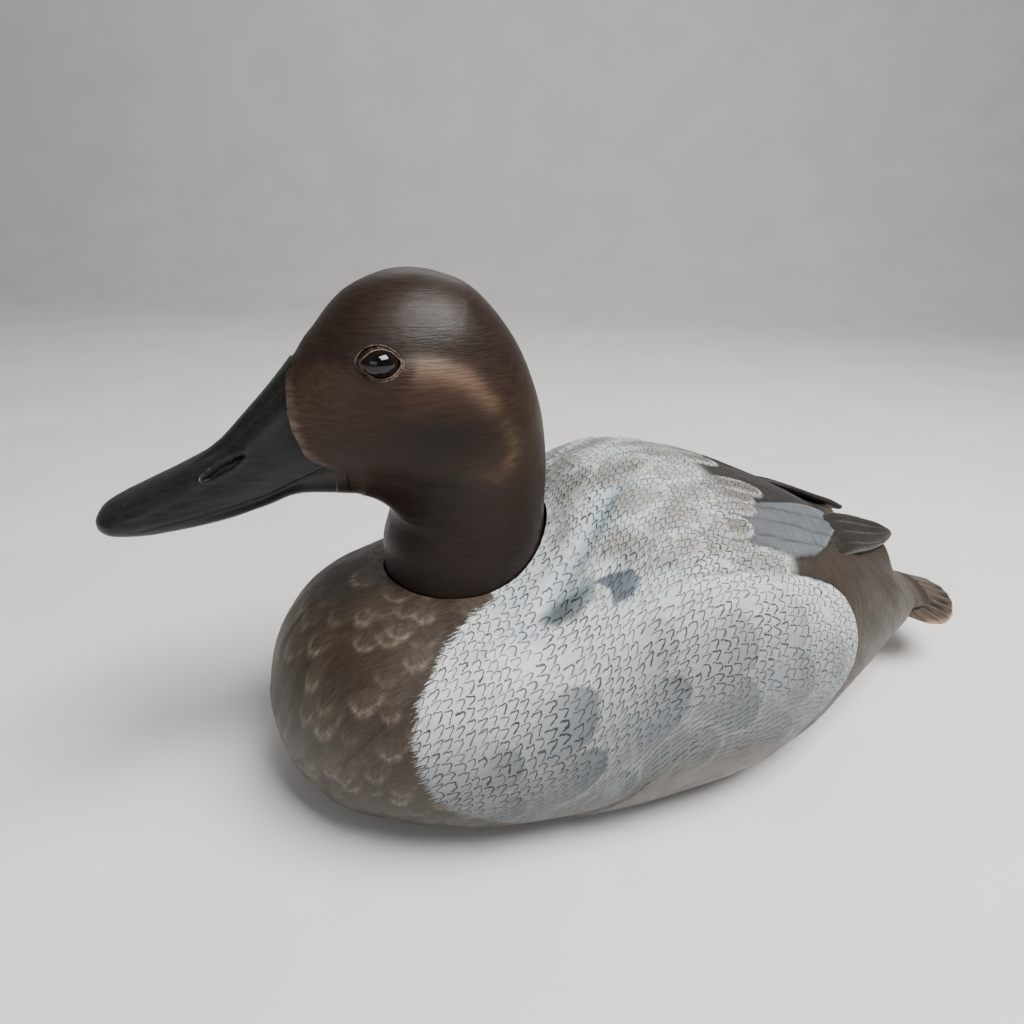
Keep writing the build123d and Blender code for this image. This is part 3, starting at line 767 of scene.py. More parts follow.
def body_material():
    m = Paint("body_paint")
    chart = m.attribute("side")
    amount = m.split(m.attribute("mark"))[2]
    breast_at, dash, edge = m.split(m.attribute("info"))
    where = m.join(m.split(chart)[0], m.split(chart)[1])
    brush = m.noise(where, (0.10, 0.9, 1), scale=1.1, detail=4)
    upright = m.noise(where, (1.1, 0.09, 1), scale=1.1, detail=4, shift=2)
    rump_share = m.split(chart)[2]
    brush = m.weigh(brush, m.rest(rump_share), m.ramp(upright, 0.25, 0.75, -0.1, 1.1), rump_share)
    fine = m.noise(where, (0.35, 2.4, 1), scale=1.2, detail=2, shift=9)
    mottling = m.noise(where, scale=0.12, detail=3, shift=4)
    colour = m.attribute("paint", "Color")
    colour = m.shade(colour, m.ramp(brush, 0.2, 0.8, 0.84, 1.14))
    colour = m.shade(colour, m.ramp(fine, 0.2, 0.8, 0.92, 1.07))
    cooler = m.mix(1.0, colour, tone(196, 214, 232), "MULTIPLY")
    colour = m.mix(m.times(m.ramp(mottling, 0.42, 0.7), 0.3), colour, cooler)
    wave = [
        (0.15, 0.75), (0.7, 0.5), (1.4, 0.62), (2.1, 0.5), (2.6, 0.65),
        (2.72, 1.15), (2.4, 1.85), (1.8, 2.45), (1.35, 3.0),
    ]
    small_wave = [(x * 0.72, y * 0.76) for x, y in wave]
    hook = m.hooks(where, 3.3, 3.1, 0.40, wave, 3.0, keep=0.95, wobble=0.85)
    small = m.hooks(where, 2.4, 2.4, 0.37, small_wave, 7.0, keep=0.92, wobble=0.7)
    dash_path = [(0.45, 1.85), (1.4, 1.2), (2.45, 0.6)]
    dashes = m.hooks(where, 2.9, 2.3, 0.42, dash_path, 5.0, keep=0.9, wobble=0.7)
    # the attribute is 1 for dashes, 0 for hooks and -1 for small hooks
    is_dash = m.math("MAXIMUM", dash, 0.0)
    is_small = m.math("MAXIMUM", m.times(dash, -1.0), 0.0)
    ink = m.times(hook, m.math("SUBTRACT", 1.0, m.add(is_dash, is_small), clamp=True))
    ink = m.add(ink, m.add(m.times(dashes, m.times(is_dash, 0.95)), m.times(small, is_small)))
    ink = m.times(ink, m.math("MINIMUM", amount, 1.0))
    ink = m.times(ink, m.ramp(m.noise(where, scale=0.09, detail=2, shift=14), 0.25, 0.45, 0.75, 1.0))
    hair = m.noise(where, (0.22, 1.6, 1), scale=1.6, detail=3, shift=21)
    hair_edge = m.add(breast_at, m.times(m.add(hair, -0.5), 9.0))
    ragged = m.ramp(hair_edge, -0.7, 0.9)
    ink = m.times(ink, m.rest(ragged))
    colour = m.mix(m.times(ink, 0.95), colour, tone(20, 22, 26))
    # dark lines: feather outlines, and the painted shadow just outside the pocket's raised edge
    colour = m.mix(m.times(edge, 0.75), colour, tone(22, 22, 24))
    feather = m.attribute("breast", "Color")
    strands = m.noise(where, (0.25, 1.3, 1), scale=1.5, detail=4, shift=31)
    feather = m.shade(feather, m.ramp(strands, 0.25, 0.75, 0.66, 1.3))
    colour = m.mix(ragged, colour, feather)
    m.bump(m.add(m.weigh(brush, 0.6, fine, 0.4), m.times(ink, 0.35)), 0.16)
    rough = m.ramp(mottling, 0.3, 0.7, 0.44, 0.56)
    rough = m.add(rough, m.times(m.add(fine, -0.5), 0.16))
    return m.done(colour, rough, specular=0.42)


body_paint = body_material()
split_row = int(np.searchsorted(half_station[:, 0], SPLIT_STATION))
middle_column = HALF_COLUMNS - 1
right_faces = np.minimum(kept[:, 0] % columns, kept[:, 1] % columns) < middle_column
front_faces = (kept.min(1) // columns) < split_row
for name, pick in {
    "skin_front_left": front_faces & ~right_faces, "skin_front_right": front_faces & right_faces,
    "skin_rear_left": ~front_faces & ~right_faces, "skin_rear_right": ~front_faces & right_faces,
}.items():
    thick_piece(name, shaped, kept[pick], skin_normals, skin_layers, SKIN_THICK, material=body_paint,
                body="body", slot="body_paint", replaces=("upper_body",))


# ---------------------------------------------------------------- head and bill surface

AROUND = 232
TURN = np.arange(AROUND) / AROUND * 2 * pi
CHIN_LINE = (78.0, 96.0)
# Head: fan angle about the chin line, inner and outer radius, half width, roundness, and how
# much wider it is low down
HEAD = [
    (0, 10.0, 61.8, 26.0, 2.0, 0.00), (18, 10.2, 64.6, 26.0, 2.05, 0.03),
    (36, 9.7, 70.6, 26.5, 2.1, 0.06), (52, 9.4, 76.8, 27.0, 2.1, 0.09),
    (66, 9.6, 80.8, 27.2, 2.15, 0.11), (78, 10.0, 78.7, 26.8, 2.15, 0.12),
    (90, 10.6, 71.6, 25.2, 2.15, 0.12), (100, 11.3, 61.3, 22.4, 2.1, 0.09),
]
# Bill: station, top, bottom, half width
BILL = [
    (61, 147.4, 108.0, 15.4), (50, 135.2, 104.8, 13.3), (40, 125.5, 102.3, 12.7),
    (28, 118.8, 100.8, 13.1), (19, 114.7, 100.5, 13.2), (12, 111.6, 101.0, 11.8),
    (8.5, 109.8, 101.5, 10.2), (6.3, 108.3, 102.3, 7.7), (5.3, 107.2, 103.0, 5.5),
    (4.8, 106.2, 103.8, 3.2),
]


def signed_power(value, exponent):
    return np.sign(value) * np.abs(value) ** exponent


def head_section(angle, inner, outer, half, roundness, pear):
    a = radians(angle)
    r = (inner + outer) / 2 - (inner - outer) / 2 * signed_power(np.sin(TURN), 2 / roundness)
    x = half * signed_power(np.cos(TURN), 2 / roundness) * (1 - pear * np.sin(TURN))
    return np.stack([x, CHIN_LINE[0] + r * cos(a), CHIN_LINE[1] + r * sin(a)], -1)


def bill_section(station_at, top, bottom, half):
    x = half * signed_power(np.cos(TURN), 2 / 2.2)
    z = (top + bottom) / 2 + (top - bottom) / 2 * signed_power(np.sin(TURN), 2 / 2.2)
    return np.stack([x, np.full(AROUND, float(station_at)), z], -1)


def neck_section(z):
    across, along = NECK_RADIUS * np.cos(TURN), NECK_STATION + NECK_RADIUS * np.sin(TURN)
    return np.stack([across, along, np.full(AROUND, float(z))], -1)


NECK_HEIGHTS = (71.1, 80, 88)
rings = np.array([neck_section(z) for z in NECK_HEIGHTS] + [head_section(*h) for h in HEAD]
                 + [bill_section(*b) for b in BILL])
gaps = np.linalg.norm(np.diff(rings, axis=0), axis=-1).mean(1)
knots = np.r_[0, np.cumsum(gaps)]
first_bill = len(NECK_HEIGHTS) + len(HEAD)


def face_surface(q):
    """Points of the neck, head and bill surface: q is rows by columns of distances along it."""
    out = np.zeros(q.shape + (3,))
    for c in range(AROUND):
        out[:, c] = cubic(q[:, c], knots, rings[:, c])
    return out


# Where the face feathers end and the bill begins, by angle round the section
margin_angle = np.radians([-90, -60, -40, -24, -20, -16, -10, 0, 12, 30, 60, 90])
margin_station = [70.5, 70.2, 69.8, 68.8, 66.5, 63.5, 61.8, 60.4, 58.9, 58.2, 58.8, 60.0]
lean = np.arcsin(np.sin(TURN))
margin = np.interp(lean, margin_angle, margin_station)
search = np.linspace(knots[first_bill - 1] - 14, knots[first_bill] + 12, 500)[:, None]
search = np.repeat(search, AROUND, 1)
search_station = face_surface(search)[:, :, 1]
margin_q = search[np.argmax(search_station <= margin, axis=0), np.arange(AROUND)]

HEAD_ROWS = 300
share = np.linspace(0, 1, HEAD_ROWS)[:, None]
head_q = share * margin_q[None, :]
head_grid = face_surface(head_q)
head_flat = head_grid.reshape(-1, 3)
head_faces = grid_faces(HEAD_ROWS, AROUND, wrap=True)
head_normals = vertex_normals(head_flat, head_faces)
probe = HEAD_ROWS // 3 * AROUND
if head_normals[probe].dot(head_flat[probe] - [0, NECK_STATION, 100]) < 0:
    head_faces = head_faces[:, ::-1]
    head_normals = -head_normals
X, HS, HZ = head_flat.T
# Outline of the raised cheek: station, height
CHEEK = [
    (60, 149.0), (67, 150.3), (76, 150.3), (87, 151.5), (96.7, 151.1), (106.6, 148.0),
    (115.5, 138.6), (121.5, 127), (121.5, 120.5), (117, 116.5), (107.4, 114.5), (95.3, 115.1),
    (86.6, 118.1), (76, 119.5), (69, 121.5),
]
cheek_gap, cheek_along = spine_distance(HS, HZ, CHEEK)
in_cheek = inside(HS, HZ, CHEEK + [(58, 122)])
sideways = smooth(np.abs(X), 8, 15)
brow = 1 - smooth(cheek_along, 0.42, 0.6)
low = smooth(cheek_along, 0.55, 0.75) * (1 - smooth(cheek_along, 0.9, 1.0))
hollow = -0.5 * brow * (np.exp(-cheek_gap / 4.0) - np.exp(-cheek_gap / 0.9))
hollow = hollow - 0.35 * low * (np.exp(-cheek_gap / 5.0) - np.exp(-cheek_gap / 1.5))
relief = np.where(in_cheek, 0.8 * (1 - np.exp(-cheek_gap / 4.0)), hollow) * sideways
HSIDE = HS + np.sign(X) * 300      # the two sides get different noise
relief += 0.25 * cloud(HSIDE, HZ, 17.0, 81)
relief += 0.03 * value_noise(HSIDE, HZ, 2.0, 82)
from_margin = (margin_q[None, :] - head_q).ravel()
relief *= smooth(HZ, 84, 96) * smooth(from_margin, 0, 6)
lean_all = lean.reshape(1, -1).repeat(HEAD_ROWS, 0).ravel()
relief += 0.4 * (1 - smooth(from_margin, 1.5, 6.0)) * smooth(lean_all, radians(-32), radians(-16))
head_shaped = head_flat + head_normals * relief[:, None]
head_shaped[:, 1] -= MIDDLE
lid_ground = BVHTree.FromPolygons(head_shaped.tolist(), head_faces.tolist())
eye_y = EYE[1] - MIDDLE


def almond(angle, long, high):
    """Outline of the eye opening: an oval drawn out to a point fore and aft."""
    c, s = np.cos(angle), np.sin(angle)
    reach = 1 / np.sqrt((c / long) ** 2 + (s / high) ** 2)
    return reach * (1 + 0.35 * bell(s, 0.33) * 0.42)


dy, dz = head_shaped[:, 1] - eye_y, head_shaped[:, 2] - EYE[2]
eye_reach = np.hypot(dy, dz) / almond(np.arctan2(dz, dy), 4.6, 3.5)
socket = (1 - smooth(eye_reach, 0.95, 1.1)) * (np.abs(head_shaped[:, 0]) > 12)
head_shaped[:, 0] -= np.sign(head_shaped[:, 0]) * 2.6 * socket

# Head paint, from the base brown up
on_cheek = np.where(in_cheek, smooth(cheek_gap, 0, 3), 0) * sideways
paint = np.tile(tone(50, 37, 31), (len(head_flat), 1))
paint = over(paint, tone(43, 34, 30), (~in_cheek) * smooth(HZ, 140, 152) * 0.8)
paint = over(paint, tone(46, 36, 32), 1 - smooth(HZ, 92, 112))
paint = over(paint, tone(76, 61, 53), on_cheek * (1 - smooth(HS, 62, 84)) * smooth(HZ, 122, 140) * 0.6)
paint = over(paint, tone(66, 51, 42), on_cheek * bell(HZ - 142, 7) * smooth(HS, 84, 92) * 0.7)
paint = over(paint, tone(22, 16, 13), bell(HS - 98, 17) * bell(HZ - 129, 8) * sideways * 0.95)
# painted shade under the lower edge of the raised cheek
paint = over(paint, tone(30, 23, 20), bell(HS - 94, 22) * bell(HZ - 112, 6) * 0.7)
# painted highlight: a pale tan stripe behind the eye, made brighter for the light the brow ridge catches
stripe_highlight_gap, stripe_highlight_along = spine_distance(HS, HZ, [(89, 149.2), (98, 148.8), (106.5, 145.5), (113.5, 138)])
stripe_highlight_fade = smooth(stripe_highlight_along, 0.0, 0.15) * (1 - 0.55 * smooth(stripe_highlight_along, 0.5, 1.0))
paint = over(paint, tone(132, 112, 96), bell(stripe_highlight_gap, 3.2) * stripe_highlight_fade * sideways * 0.58)
CHEEK_REAR = [(108, 145), (115.5, 137), (119.8, 129), (121, 122.5), (116.5, 116.5), (108, 117.5)]
ring_gap, ring_along = spine_distance(HS, HZ, CHEEK_REAR)
streaky = 0.6 + 0.4 * value_noise(HSIDE * 0.5, HZ * 2.2, 1.6, 91)
glow = bell(ring_gap, 2.6) * (0.16 + 0.42 * bell(ring_along - 0.72, 0.2))
paint = over(paint, tone(112, 94, 72), glow * streaky * sideways)
strip = 1 - smooth(from_margin + value_noise(HSIDE * 0.4, HZ * 2.6, 1.5, 92), 0.8, 4.2)
strip = strip * smooth(lean_all, radians(-28), radians(-12))
strip = strip * (1 - smooth(lean_all, radians(45), radians(75)))
paint = over(paint, tone(132, 120, 111), strip * 0.5 * streaky)
# the whole head darker and warmer, with painted shade darkening the lower cheek and neck under the head
paint *= (0.82 - 0.26 * (1 - smooth(HZ, 100, 124)))[:, None] * np.array([0.88, 0.80, 0.76])
eye_shadow = np.clip(1 - np.abs(eye_reach - 1.75) / 0.25, 0, 1) * (np.abs(X) > 12)
paint = over(paint, tone(24, 18, 16), eye_shadow * 0.35)

# The last rows turn in under the edge
TUCKS = ((0.35, 0.05), (0.9, 0.5), (2.0, 2.0))      # inward, back
grid = head_shaped.reshape(HEAD_ROWS, AROUND, 3)
edge_normals = head_normals.reshape(HEAD_ROWS, AROUND, 3)[-1]
tucked = [grid[-1] - edge_normals * d + np.array([0, 1.0, 0]) * b for d, b in TUCKS]
head_points = np.concatenate([grid.reshape(-1, 3), *tucked])
head_all, head_polys = closed_tube(head_points, HEAD_ROWS + len(TUCKS), AROUND)
if head_faces[0, 0] != grid_faces(HEAD_ROWS, AROUND, wrap=True)[0, 0]:
    head_polys = [f[::-1] for f in head_polys]
extra = len(head_all) - len(head_flat)
# painted shade: the turned-in rows and the end caps near-black, as the gap under the head's edge
head_colours = np.concatenate([paint, np.tile(tone(18, 15, 14), (extra, 1))])
head_chart = np.c_[HS, HZ, X]
head_chart = np.concatenate([head_chart, np.tile(head_chart[-1], (extra, 1))])


def head_material():
    m = Paint("head_paint")
    where = m.attribute("side")
    strokes = m.noise(where, (0.11, 1.5, 0.35), scale=1.0, detail=4)
    fine = m.noise(where, (0.3, 3.2, 0.6), scale=1.1, detail=2, shift=5)
    clouds = m.noise(where, (0.6, 1.0, 0.6), scale=0.10, detail=2, shift=8)
    colour = m.attribute("paint", "Color")
    colour = m.shade(colour, m.ramp(strokes, 0.28, 0.72, 0.78, 1.22))
    colour = m.shade(colour, m.ramp(fine, 0.3, 0.7, 0.9, 1.1))
    warmer = m.mix(1.0, colour, tone(255, 214, 190), "MULTIPLY")
    colour = m.mix(m.ramp(clouds, 0.45, 0.75, 0.0, 0.3), colour, warmer)
    m.bump(m.weigh(strokes, 0.6, fine, 0.5), 0.14)
    rough = m.add(m.ramp(clouds, 0.3, 0.7, 0.38, 0.46), m.times(m.add(strokes, -0.5), 0.22))
    return m.done(colour, rough, specular=0.22)


head_paint = head_material()
make_piece("head_carving", head_all, head_polys, head_paint, "head", "head_paint", replaces=("head",),
           layers={"paint": np.clip(head_colours, 0, 1), "side": head_chart})

# Bill
BILL_ROWS = 210
start_q = margin_q - 3.5
tip_q = knots[-1]
closer = 1 - (1 - np.linspace(0, 1, BILL_ROWS)[:, None]) ** 1.3     # rows crowd toward the tip
bill_q = start_q[None, :] + (tip_q - start_q[None, :]) * closer
bill_grid = face_surface(bill_q)
tip = bill_grid[-1]
hub = tip.mean(0)
caps = []
for k in range(5):
    a = radians(18 * (k + 1) - 2)
    ring = hub + (tip - hub) * cos(a)
    ring[:, 1] = 4.8 - 0.35 * sin(a)
    caps.append(ring)
bill_grid = np.concatenate([bill_grid, np.array(caps)])
bill_rows = bill_grid.shape[0]
bill_flat = bill_grid.reshape(-1, 3)
bill_faces = grid_faces(bill_rows, AROUND, wrap=True)
bill_normals = vertex_normals(bill_flat, bill_faces)
probe = bill_rows // 2 * AROUND
turned = bill_normals[probe].dot(bill_flat[probe] - [0, 30, 110]) < 0
if turned:
    bill_normals = -bill_normals
BX, BS, BZ = bill_flat.T
# how high up the bill's side each point is, 0 to 1
tops = np.interp(BS, [5, 12, 28, 40, 50, 61, 75], [106.5, 111.6, 118.8, 125.5, 135.2, 147.4, 159])
bottoms = np.interp(BS, [5, 12, 28, 40, 50, 61, 75], [103.5, 101, 100.8, 102.3, 104.8, 108, 108])
f = (BZ - bottoms) / (tops - bottoms)
culmen = np.interp(BS, [28, 40, 52, 61], [2.5, 3.4, 4.6, 5.6])
relief = -0.9 * bell(f - 0.60, 0.2) * smooth(BS, 26, 50) * (np.abs(BX) > 2)
relief += -0.4 * bell(np.abs(BX) - culmen - 0.8, 1.1) * smooth(BS, 28, 42) * (f > 0.6)
relief += 0.85 * bell(BX, culmen, 4) * smooth(BS, 30, 46) * (f > 0.6)
# Mouth line: station, height
MOUTH = np.array([
    (9, 104.2), (20, 105.6), (30.6, 107.2), (41.6, 109.0), (52.9, 112.0), (60, 115.6),
    (66, 119.5), (72, 121.5),
])
mouth_z = cubic(BS, MOUTH[:, 0], MOUTH[:, 1])
below = mouth_z - BZ
lips = smooth(BS, 12, 24)
relief += -0.75 * bell(below, 0.55) * lips
relief += -0.3 * smooth(below, 0.0, 1.2) * lips * (1 - smooth(BS, 56, 66))
relief += 0.3 * bell(below + 1.4, 0.9) * lips
# Nostril: a slot with a raised rim
NOSTRIL = (39.7, 121.0)
slope = radians(29)
a = (BS - NOSTRIL[0]) * cos(slope) + (BZ - NOSTRIL[1]) * sin(slope)
b = -(BS - NOSTRIL[0]) * sin(slope) + (BZ - NOSTRIL[1]) * cos(slope)
wave = 0.10 * np.sin(a * 1.1) + 0.05 * np.sin(a * 2.9 + 1)
slot_gap = np.hypot(np.maximum(np.abs(a) - 6.4, 0), b + wave) - 1.05 * np.clip(1 - (a / 7.2) ** 2, 0.12, 1)
on_side = (np.abs(BX) > 5) & (BS < 52)
relief += np.where(on_side, -1.7 * (1 - smooth(slot_gap, -0.6, 0.3)), 0)
relief += np.where(on_side, 0.34 * bell(slot_gap - 0.8, 0.5), 0)
relief += 0.22 * bell(BX, 4.2, 4) * (1 - smooth(BS, 11, 14)) * (f > 0.45)
relief += 0.06 * cloud(BS, BX + BZ * 0.6, 6.0, 95)
relief *= (1 - 0.8 * smooth(BS, 66, 71)) * smooth(BS, 5.6, 8.0)
bill_shaped = bill_flat + bill_normals * (relief - 0.05)[:, None]
bill_shaped[:, 1] -= MIDDLE
bill_all, bill_polys = closed_tube(bill_shaped, bill_rows, AROUND)
if turned:
    bill_polys = [p[::-1] for p in bill_polys]
# painted shade: near-black in the nostril slot, along the mouth line and in the gape at the bill's base
recess_shade = np.where(on_side, 1 - smooth(slot_gap, -0.4, 0.3), 0) + bell(below, 0.5) * lips * 0.8
recess_shade += smooth(BS, 60, 68) * smooth(below, 0, 1.5)
bill_chart = np.c_[BS, BZ, BX]
bill_marks = np.c_[recess_shade, bell(below + 1.2, 0.5) * lips, smooth(BS, 20, 8)]
pad = len(bill_all) - len(bill_flat)
bill_layers = {
    "side": np.concatenate([bill_chart, np.tile(bill_chart[-1], (pad, 1))]),
    "mark": np.concatenate([bill_marks, np.zeros((pad, 3))]),
}


def bill_material():
    m = Paint("bill_paint")
    where = m.attribute("side")
    recess_shade, lip, tip_wear = m.split(m.attribute("mark"))
    strokes = m.noise(where, (0.14, 1.2, 0.5), scale=0.9, detail=4)
    fine = m.noise(where, (0.5, 2.6, 1.0), scale=1.2, detail=2, shift=3)
    wear = m.noise(where, scale=0.55, detail=4, shift=6)
    colour = m.mix(m.ramp(strokes, 0.3, 0.7), tone(15, 15, 15), tone(27, 27, 27))
    rub = m.times(m.ramp(wear, 0.60, 0.72), m.add(m.times(lip, 0.6), m.times(tip_wear, 0.25)))
    colour = m.mix(rub, colour, tone(92, 84, 74))
    # painted shade in the recesses
    colour = m.mix(m.math("MINIMUM", recess_shade, 1.0), colour, tone(7, 7, 7))
    m.bump(m.weigh(strokes, 0.6, fine, 0.4), 0.10)
    rough = m.add(0.40, m.times(m.add(wear, -0.5), 0.2))
    return m.done(colour, rough, specular=0.32)


bill_paint = bill_material()
make_piece("bill_carving", bill_all, bill_polys, bill_paint, "head", "bill_paint", replaces=("bill",),
           layers=bill_layers)


# ---------------------------------------------------------------- eyes and lids

def eye_material():
    m = Paint("eye_glass")
    where = m.place()
    grain = m.noise(where, scale=0.5, detail=2)
    _, y, z = m.split(where)
    off = m.join(0.0, m.add(y, -eye_y), m.add(z, -EYE[2]))
    ring = m.vector("LENGTH", off)
    iris = m.times(m.ramp(ring, 2.6, 3.1), m.rest(m.ramp(ring, 4.2, 4.9)))
    colour = m.mix(m.times(iris, m.ramp(grain, 0.3, 0.7, 0.3, 0.8)), tone(4, 4, 5), tone(26, 13, 8))
    return m.done(colour, m.ramp(grain, 0.3, 0.7, 0.03, 0.07), coat=0.25, coat_roughness=0.02, specular=0.3)


def lid_material():
    m = Paint("eyelid_putty")
    where = m.place()
    recess_shade, high, _ = m.split(m.attribute("mark"))
    dabs = m.noise(where, scale=1.3, detail=4)
    colour = m.mix(m.ramp(dabs, 0.3, 0.7), tone(62, 47, 39), tone(88, 70, 60))
    # painted highlight on the two ridge tops of the lid
    colour = m.mix(m.times(high, m.ramp(dabs, 0.35, 0.7, 0.3, 0.7)), colour, tone(122, 102, 90))
    # painted shade in the crease between the ridges and at the opening
    colour = m.mix(recess_shade, colour, tone(20, 14, 12))
    m.bump(dabs, 0.2)
    return m.done(colour, m.ramp(dabs, 0.3, 0.7, 0.40, 0.55), specular=0.45)


eye_glass, eyelid_putty = eye_material(), lid_material()
EYE_ROWS, EYE_COLUMNS = 60, 72
# Across the lid, from the opening (0) to the skin (1), and its height there
LID_STEPS = (0, 0.08, 0.16, 0.24, 0.32, 0.40, 0.47, 0.54, 0.60, 0.66, 0.72, 0.78, 0.84, 0.90, 0.95, 1.0)
LID_RISE = np.array([
    (0, -0.45), (0.10, 0.08), (0.22, 0.36), (0.34, 0.24), (0.44, -0.06), (0.52, -0.1),
    (0.62, 0.08), (0.72, 0.10), (0.84, -0.05), (1.0, -0.5),
])
for name, sign in SIDES:
    lat = np.linspace(radians(3), radians(177), EYE_ROWS)[:, None]
    lon = np.linspace(0, 2 * pi, EYE_COLUMNS, endpoint=False)[None, :]
    ball = np.stack([
        np.broadcast_to(sign * np.cos(lat), (EYE_ROWS, EYE_COLUMNS)),
        np.sin(lat) * np.cos(lon), np.sin(lat) * np.sin(lon),
    ], -1).reshape(-1, 3) * EYE_RADII + [sign * EYE[0], eye_y, EYE[2] - 0.1]
    ball_all, ball_polys = closed_tube(ball, EYE_ROWS, EYE_COLUMNS)
    if sign > 0:
        ball_polys = [p[::-1] for p in ball_polys]
    make_piece(f"{name}_glass_eye", ball_all, ball_polys, eye_glass, "head", "eye_glass",
               replaces=(f"{name}_eye",))

    angles = np.linspace(0, 2 * pi, 168, endpoint=False)
    rise = np.interp(LID_STEPS, LID_RISE[:, 0], LID_RISE[:, 1])
    inner = almond(angles, 4.5, 3.6)
    outer = almond(angles, 5.8, 4.8)
    top_side = 0.75 + 0.5 * smooth(np.sin(angles), -0.2, 0.5)
    skin_pts, marks = [], []
    for u, h in zip(LID_STEPS, rise):
        r = inner + (outer - inner) * u
        for k, angle in enumerate(angles):
            py, pz = eye_y + r[k] * cos(angle), EYE[2] + r[k] * sin(angle)
            hit = lid_ground.ray_cast(Vector((sign * 60, py, pz)), Vector((-sign, 0, 0)))[0]
            ground = abs(hit.x) if hit else 24.0
            bulge = 1 - (r[k] * cos(angle) / EYE_RADII[1]) ** 2 - (r[k] * sin(angle) / EYE_RADII[2]) ** 2
            ball_x = EYE[0] + EYE_RADII[0] * sqrt(max(bulge, 0.02))
            level = max(ground, ball_x + 0.1) if u < 0.5 else ground
            wobble = 0.08 * sin(9 * angle + 3 * u) + 0.05 * sin(23 * angle)
            lift = h * top_side[k] if u > 0.5 else h
            skin_pts.append((sign * (level + lift + wobble * (0.1 < u < 0.9)), py, pz))
            # painted shade in the crease and at the opening; painted highlight along the ridge tops
            crease_shade = bell(u - 0.48, 0.07) + (u < 0.06)
            marks.append((crease_shade, bell(u - 0.25, 0.1) + 0.6 * bell(u - 0.68, 0.07), 0))
    front = np.array(skin_pts)
    lid_faces = grid_faces(len(LID_STEPS), len(angles), wrap=True)
    lid_normals = vertex_normals(front, lid_faces)
    if lid_normals[len(front) // 2][0] * sign < 0:
        lid_faces, lid_normals = lid_faces[:, ::-1], -lid_normals
    thick_piece(f"{name}_lid", front, lid_faces, lid_normals, {"mark": np.array(marks, float)}, LID_THICK,
                material=eyelid_putty, body="head", slot="eyelid_putty", replaces=(f"{name}_eyelid",))


# ---------------------------------------------------------------- wing tips and tail

WING_LEAN = 28
# Tail: station, height, half width, thickness
TAIL = np.array([
    (288, 45.0, 13.0, 5.0), (300, 43.0, 17.0, 5.0), (312, 40.6, 20.8, 4.6), (324, 37.5, TAIL_HALF, 4.0),
    (334, 34.5, 20.8, 3.4), (342, 31.8, 16.0, 2.8), (346.5, 30.1, 9.8, 2.3), (TAIL_TIP, 29.2, 4.5, 2.0),
])
TAIL_FAN = 264           # station that the tail's feathers spread from
TAIL_FAN_HALF = 14.5     # degrees


def plume_material(name, low_rough, high_rough):
    m = Paint(name)
    where = m.attribute("side")
    edge = m.split(m.attribute("mark"))[0]
    barbs = m.noise(where, (0.25, 1.6, 1), scale=1.2, detail=4)
    fine = m.noise(where, (0.6, 3.4, 1), scale=1.1, detail=2, shift=4)
    clouds = m.noise(where, scale=0.12, detail=2, shift=7)
    colour = m.attribute("paint", "Color")
    colour = m.shade(colour, m.ramp(barbs, 0.25, 0.75, 0.72, 1.28))
    colour = m.shade(colour, m.ramp(fine, 0.3, 0.7, 0.88, 1.12))
    colour = m.mix(m.times(edge, 0.85), colour, tone(20, 18, 17))
    m.bump(m.weigh(barbs, 0.6, fine, 0.4), 0.16)
    return m.done(colour, m.ramp(clouds, 0.3, 0.7, low_rough, high_rough), specular=0.45)


def plume_piece(name, points, polys, paint, slot, node, colour, chart, edges):
    """A wing tip or tail, with its paint, its chart for brush marks, and its dark feather edges."""
    nothing = edges * 0
    make_piece(name, points, polys, paint, "body", slot, replaces=(node,), layers={
        "paint": np.concatenate([colour, colour[-2:]]), "side": np.concatenate([chart, chart[-2:]]),
        "mark": np.concatenate([np.c_[edges, nothing, nothing], np.zeros((2, 3))]),
    })


wing_paint = plume_material("wing_paint", 0.38, 0.5)
tail_paint = plume_material("tail_paint", 0.42, 0.55)
for name, sign in SIDES:
    count, ring = 150, 120
    q = np.linspace(0, 1, count)
    st = WING[0, 0] + (WING[-1, 0] - WING[0, 0]) * q
    table = cubic(st, WING[:, 0], WING[:, 1:])
    t = np.arange(ring) / ring * 2 * pi
    u = np.cos(t)[None, :] * table[:, 2:3]
    v = signed_power(np.sin(t), 0.8)[None, :] * table[:, 3:4]
    across_wing = np.cos(t)[None, :]
    # folded primaries: each overlaps the next one out
    lanes = (across_wing + 1) * 1.9 + 0.9 * (1 - q[:, None]) + 0.15
    lane_edge = lanes - np.floor(lanes)
    upper = (np.sin(t) > 0)[None, :]
    clear_of_ends = smooth(q, 0.02, 0.2)[:, None] * (1 - smooth(q, 0.9, 1.0))[:, None]
    v = v + 0.55 * (1 - smooth(lane_edge, 0.0, 0.92)) * upper * clear_of_ends
    lean_down = radians(WING_LEAN)
    x = table[:, 0:1] + u * cos(lean_down) + v * sin(lean_down)
    z = table[:, 1:2] - u * sin(lean_down) + v * cos(lean_down)
    pts = np.stack([sign * x, np.broadcast_to(st[:, None] - MIDDLE, x.shape), z], -1).reshape(-1, 3)
    all_pts, polys = closed_tube(pts, count, ring)
    if sign < 0:
        polys = [p[::-1] for p in polys]
    rim = np.minimum(lane_edge, 1 - lane_edge)
    colour = np.tile(tone(33, 30, 28), (pts.shape[0], 1))
    glow = bell(lane_edge - 0.86, 0.06) * upper * smooth(q, 0.2, 0.5)[:, None]
    colour = over(colour, tone(130, 122, 114), glow * 0.28)
    colour = over(colour, tone(26, 23, 21), bell(lane_edge - 0.5, 0.05) * upper * 0.5)
    edge_dark = (bell(rim, 0.05) * upper).ravel()
    chart = np.c_[np.repeat(st, ring) + sign * 300, (across_wing * table[:, 2:3]).ravel(), pts[:, 2] * 0.3]
    plume_piece(f"{name}_primaries", all_pts, polys, wing_paint, "wing_paint", f"{name}_wing_tip",
                colour, chart, edge_dark)

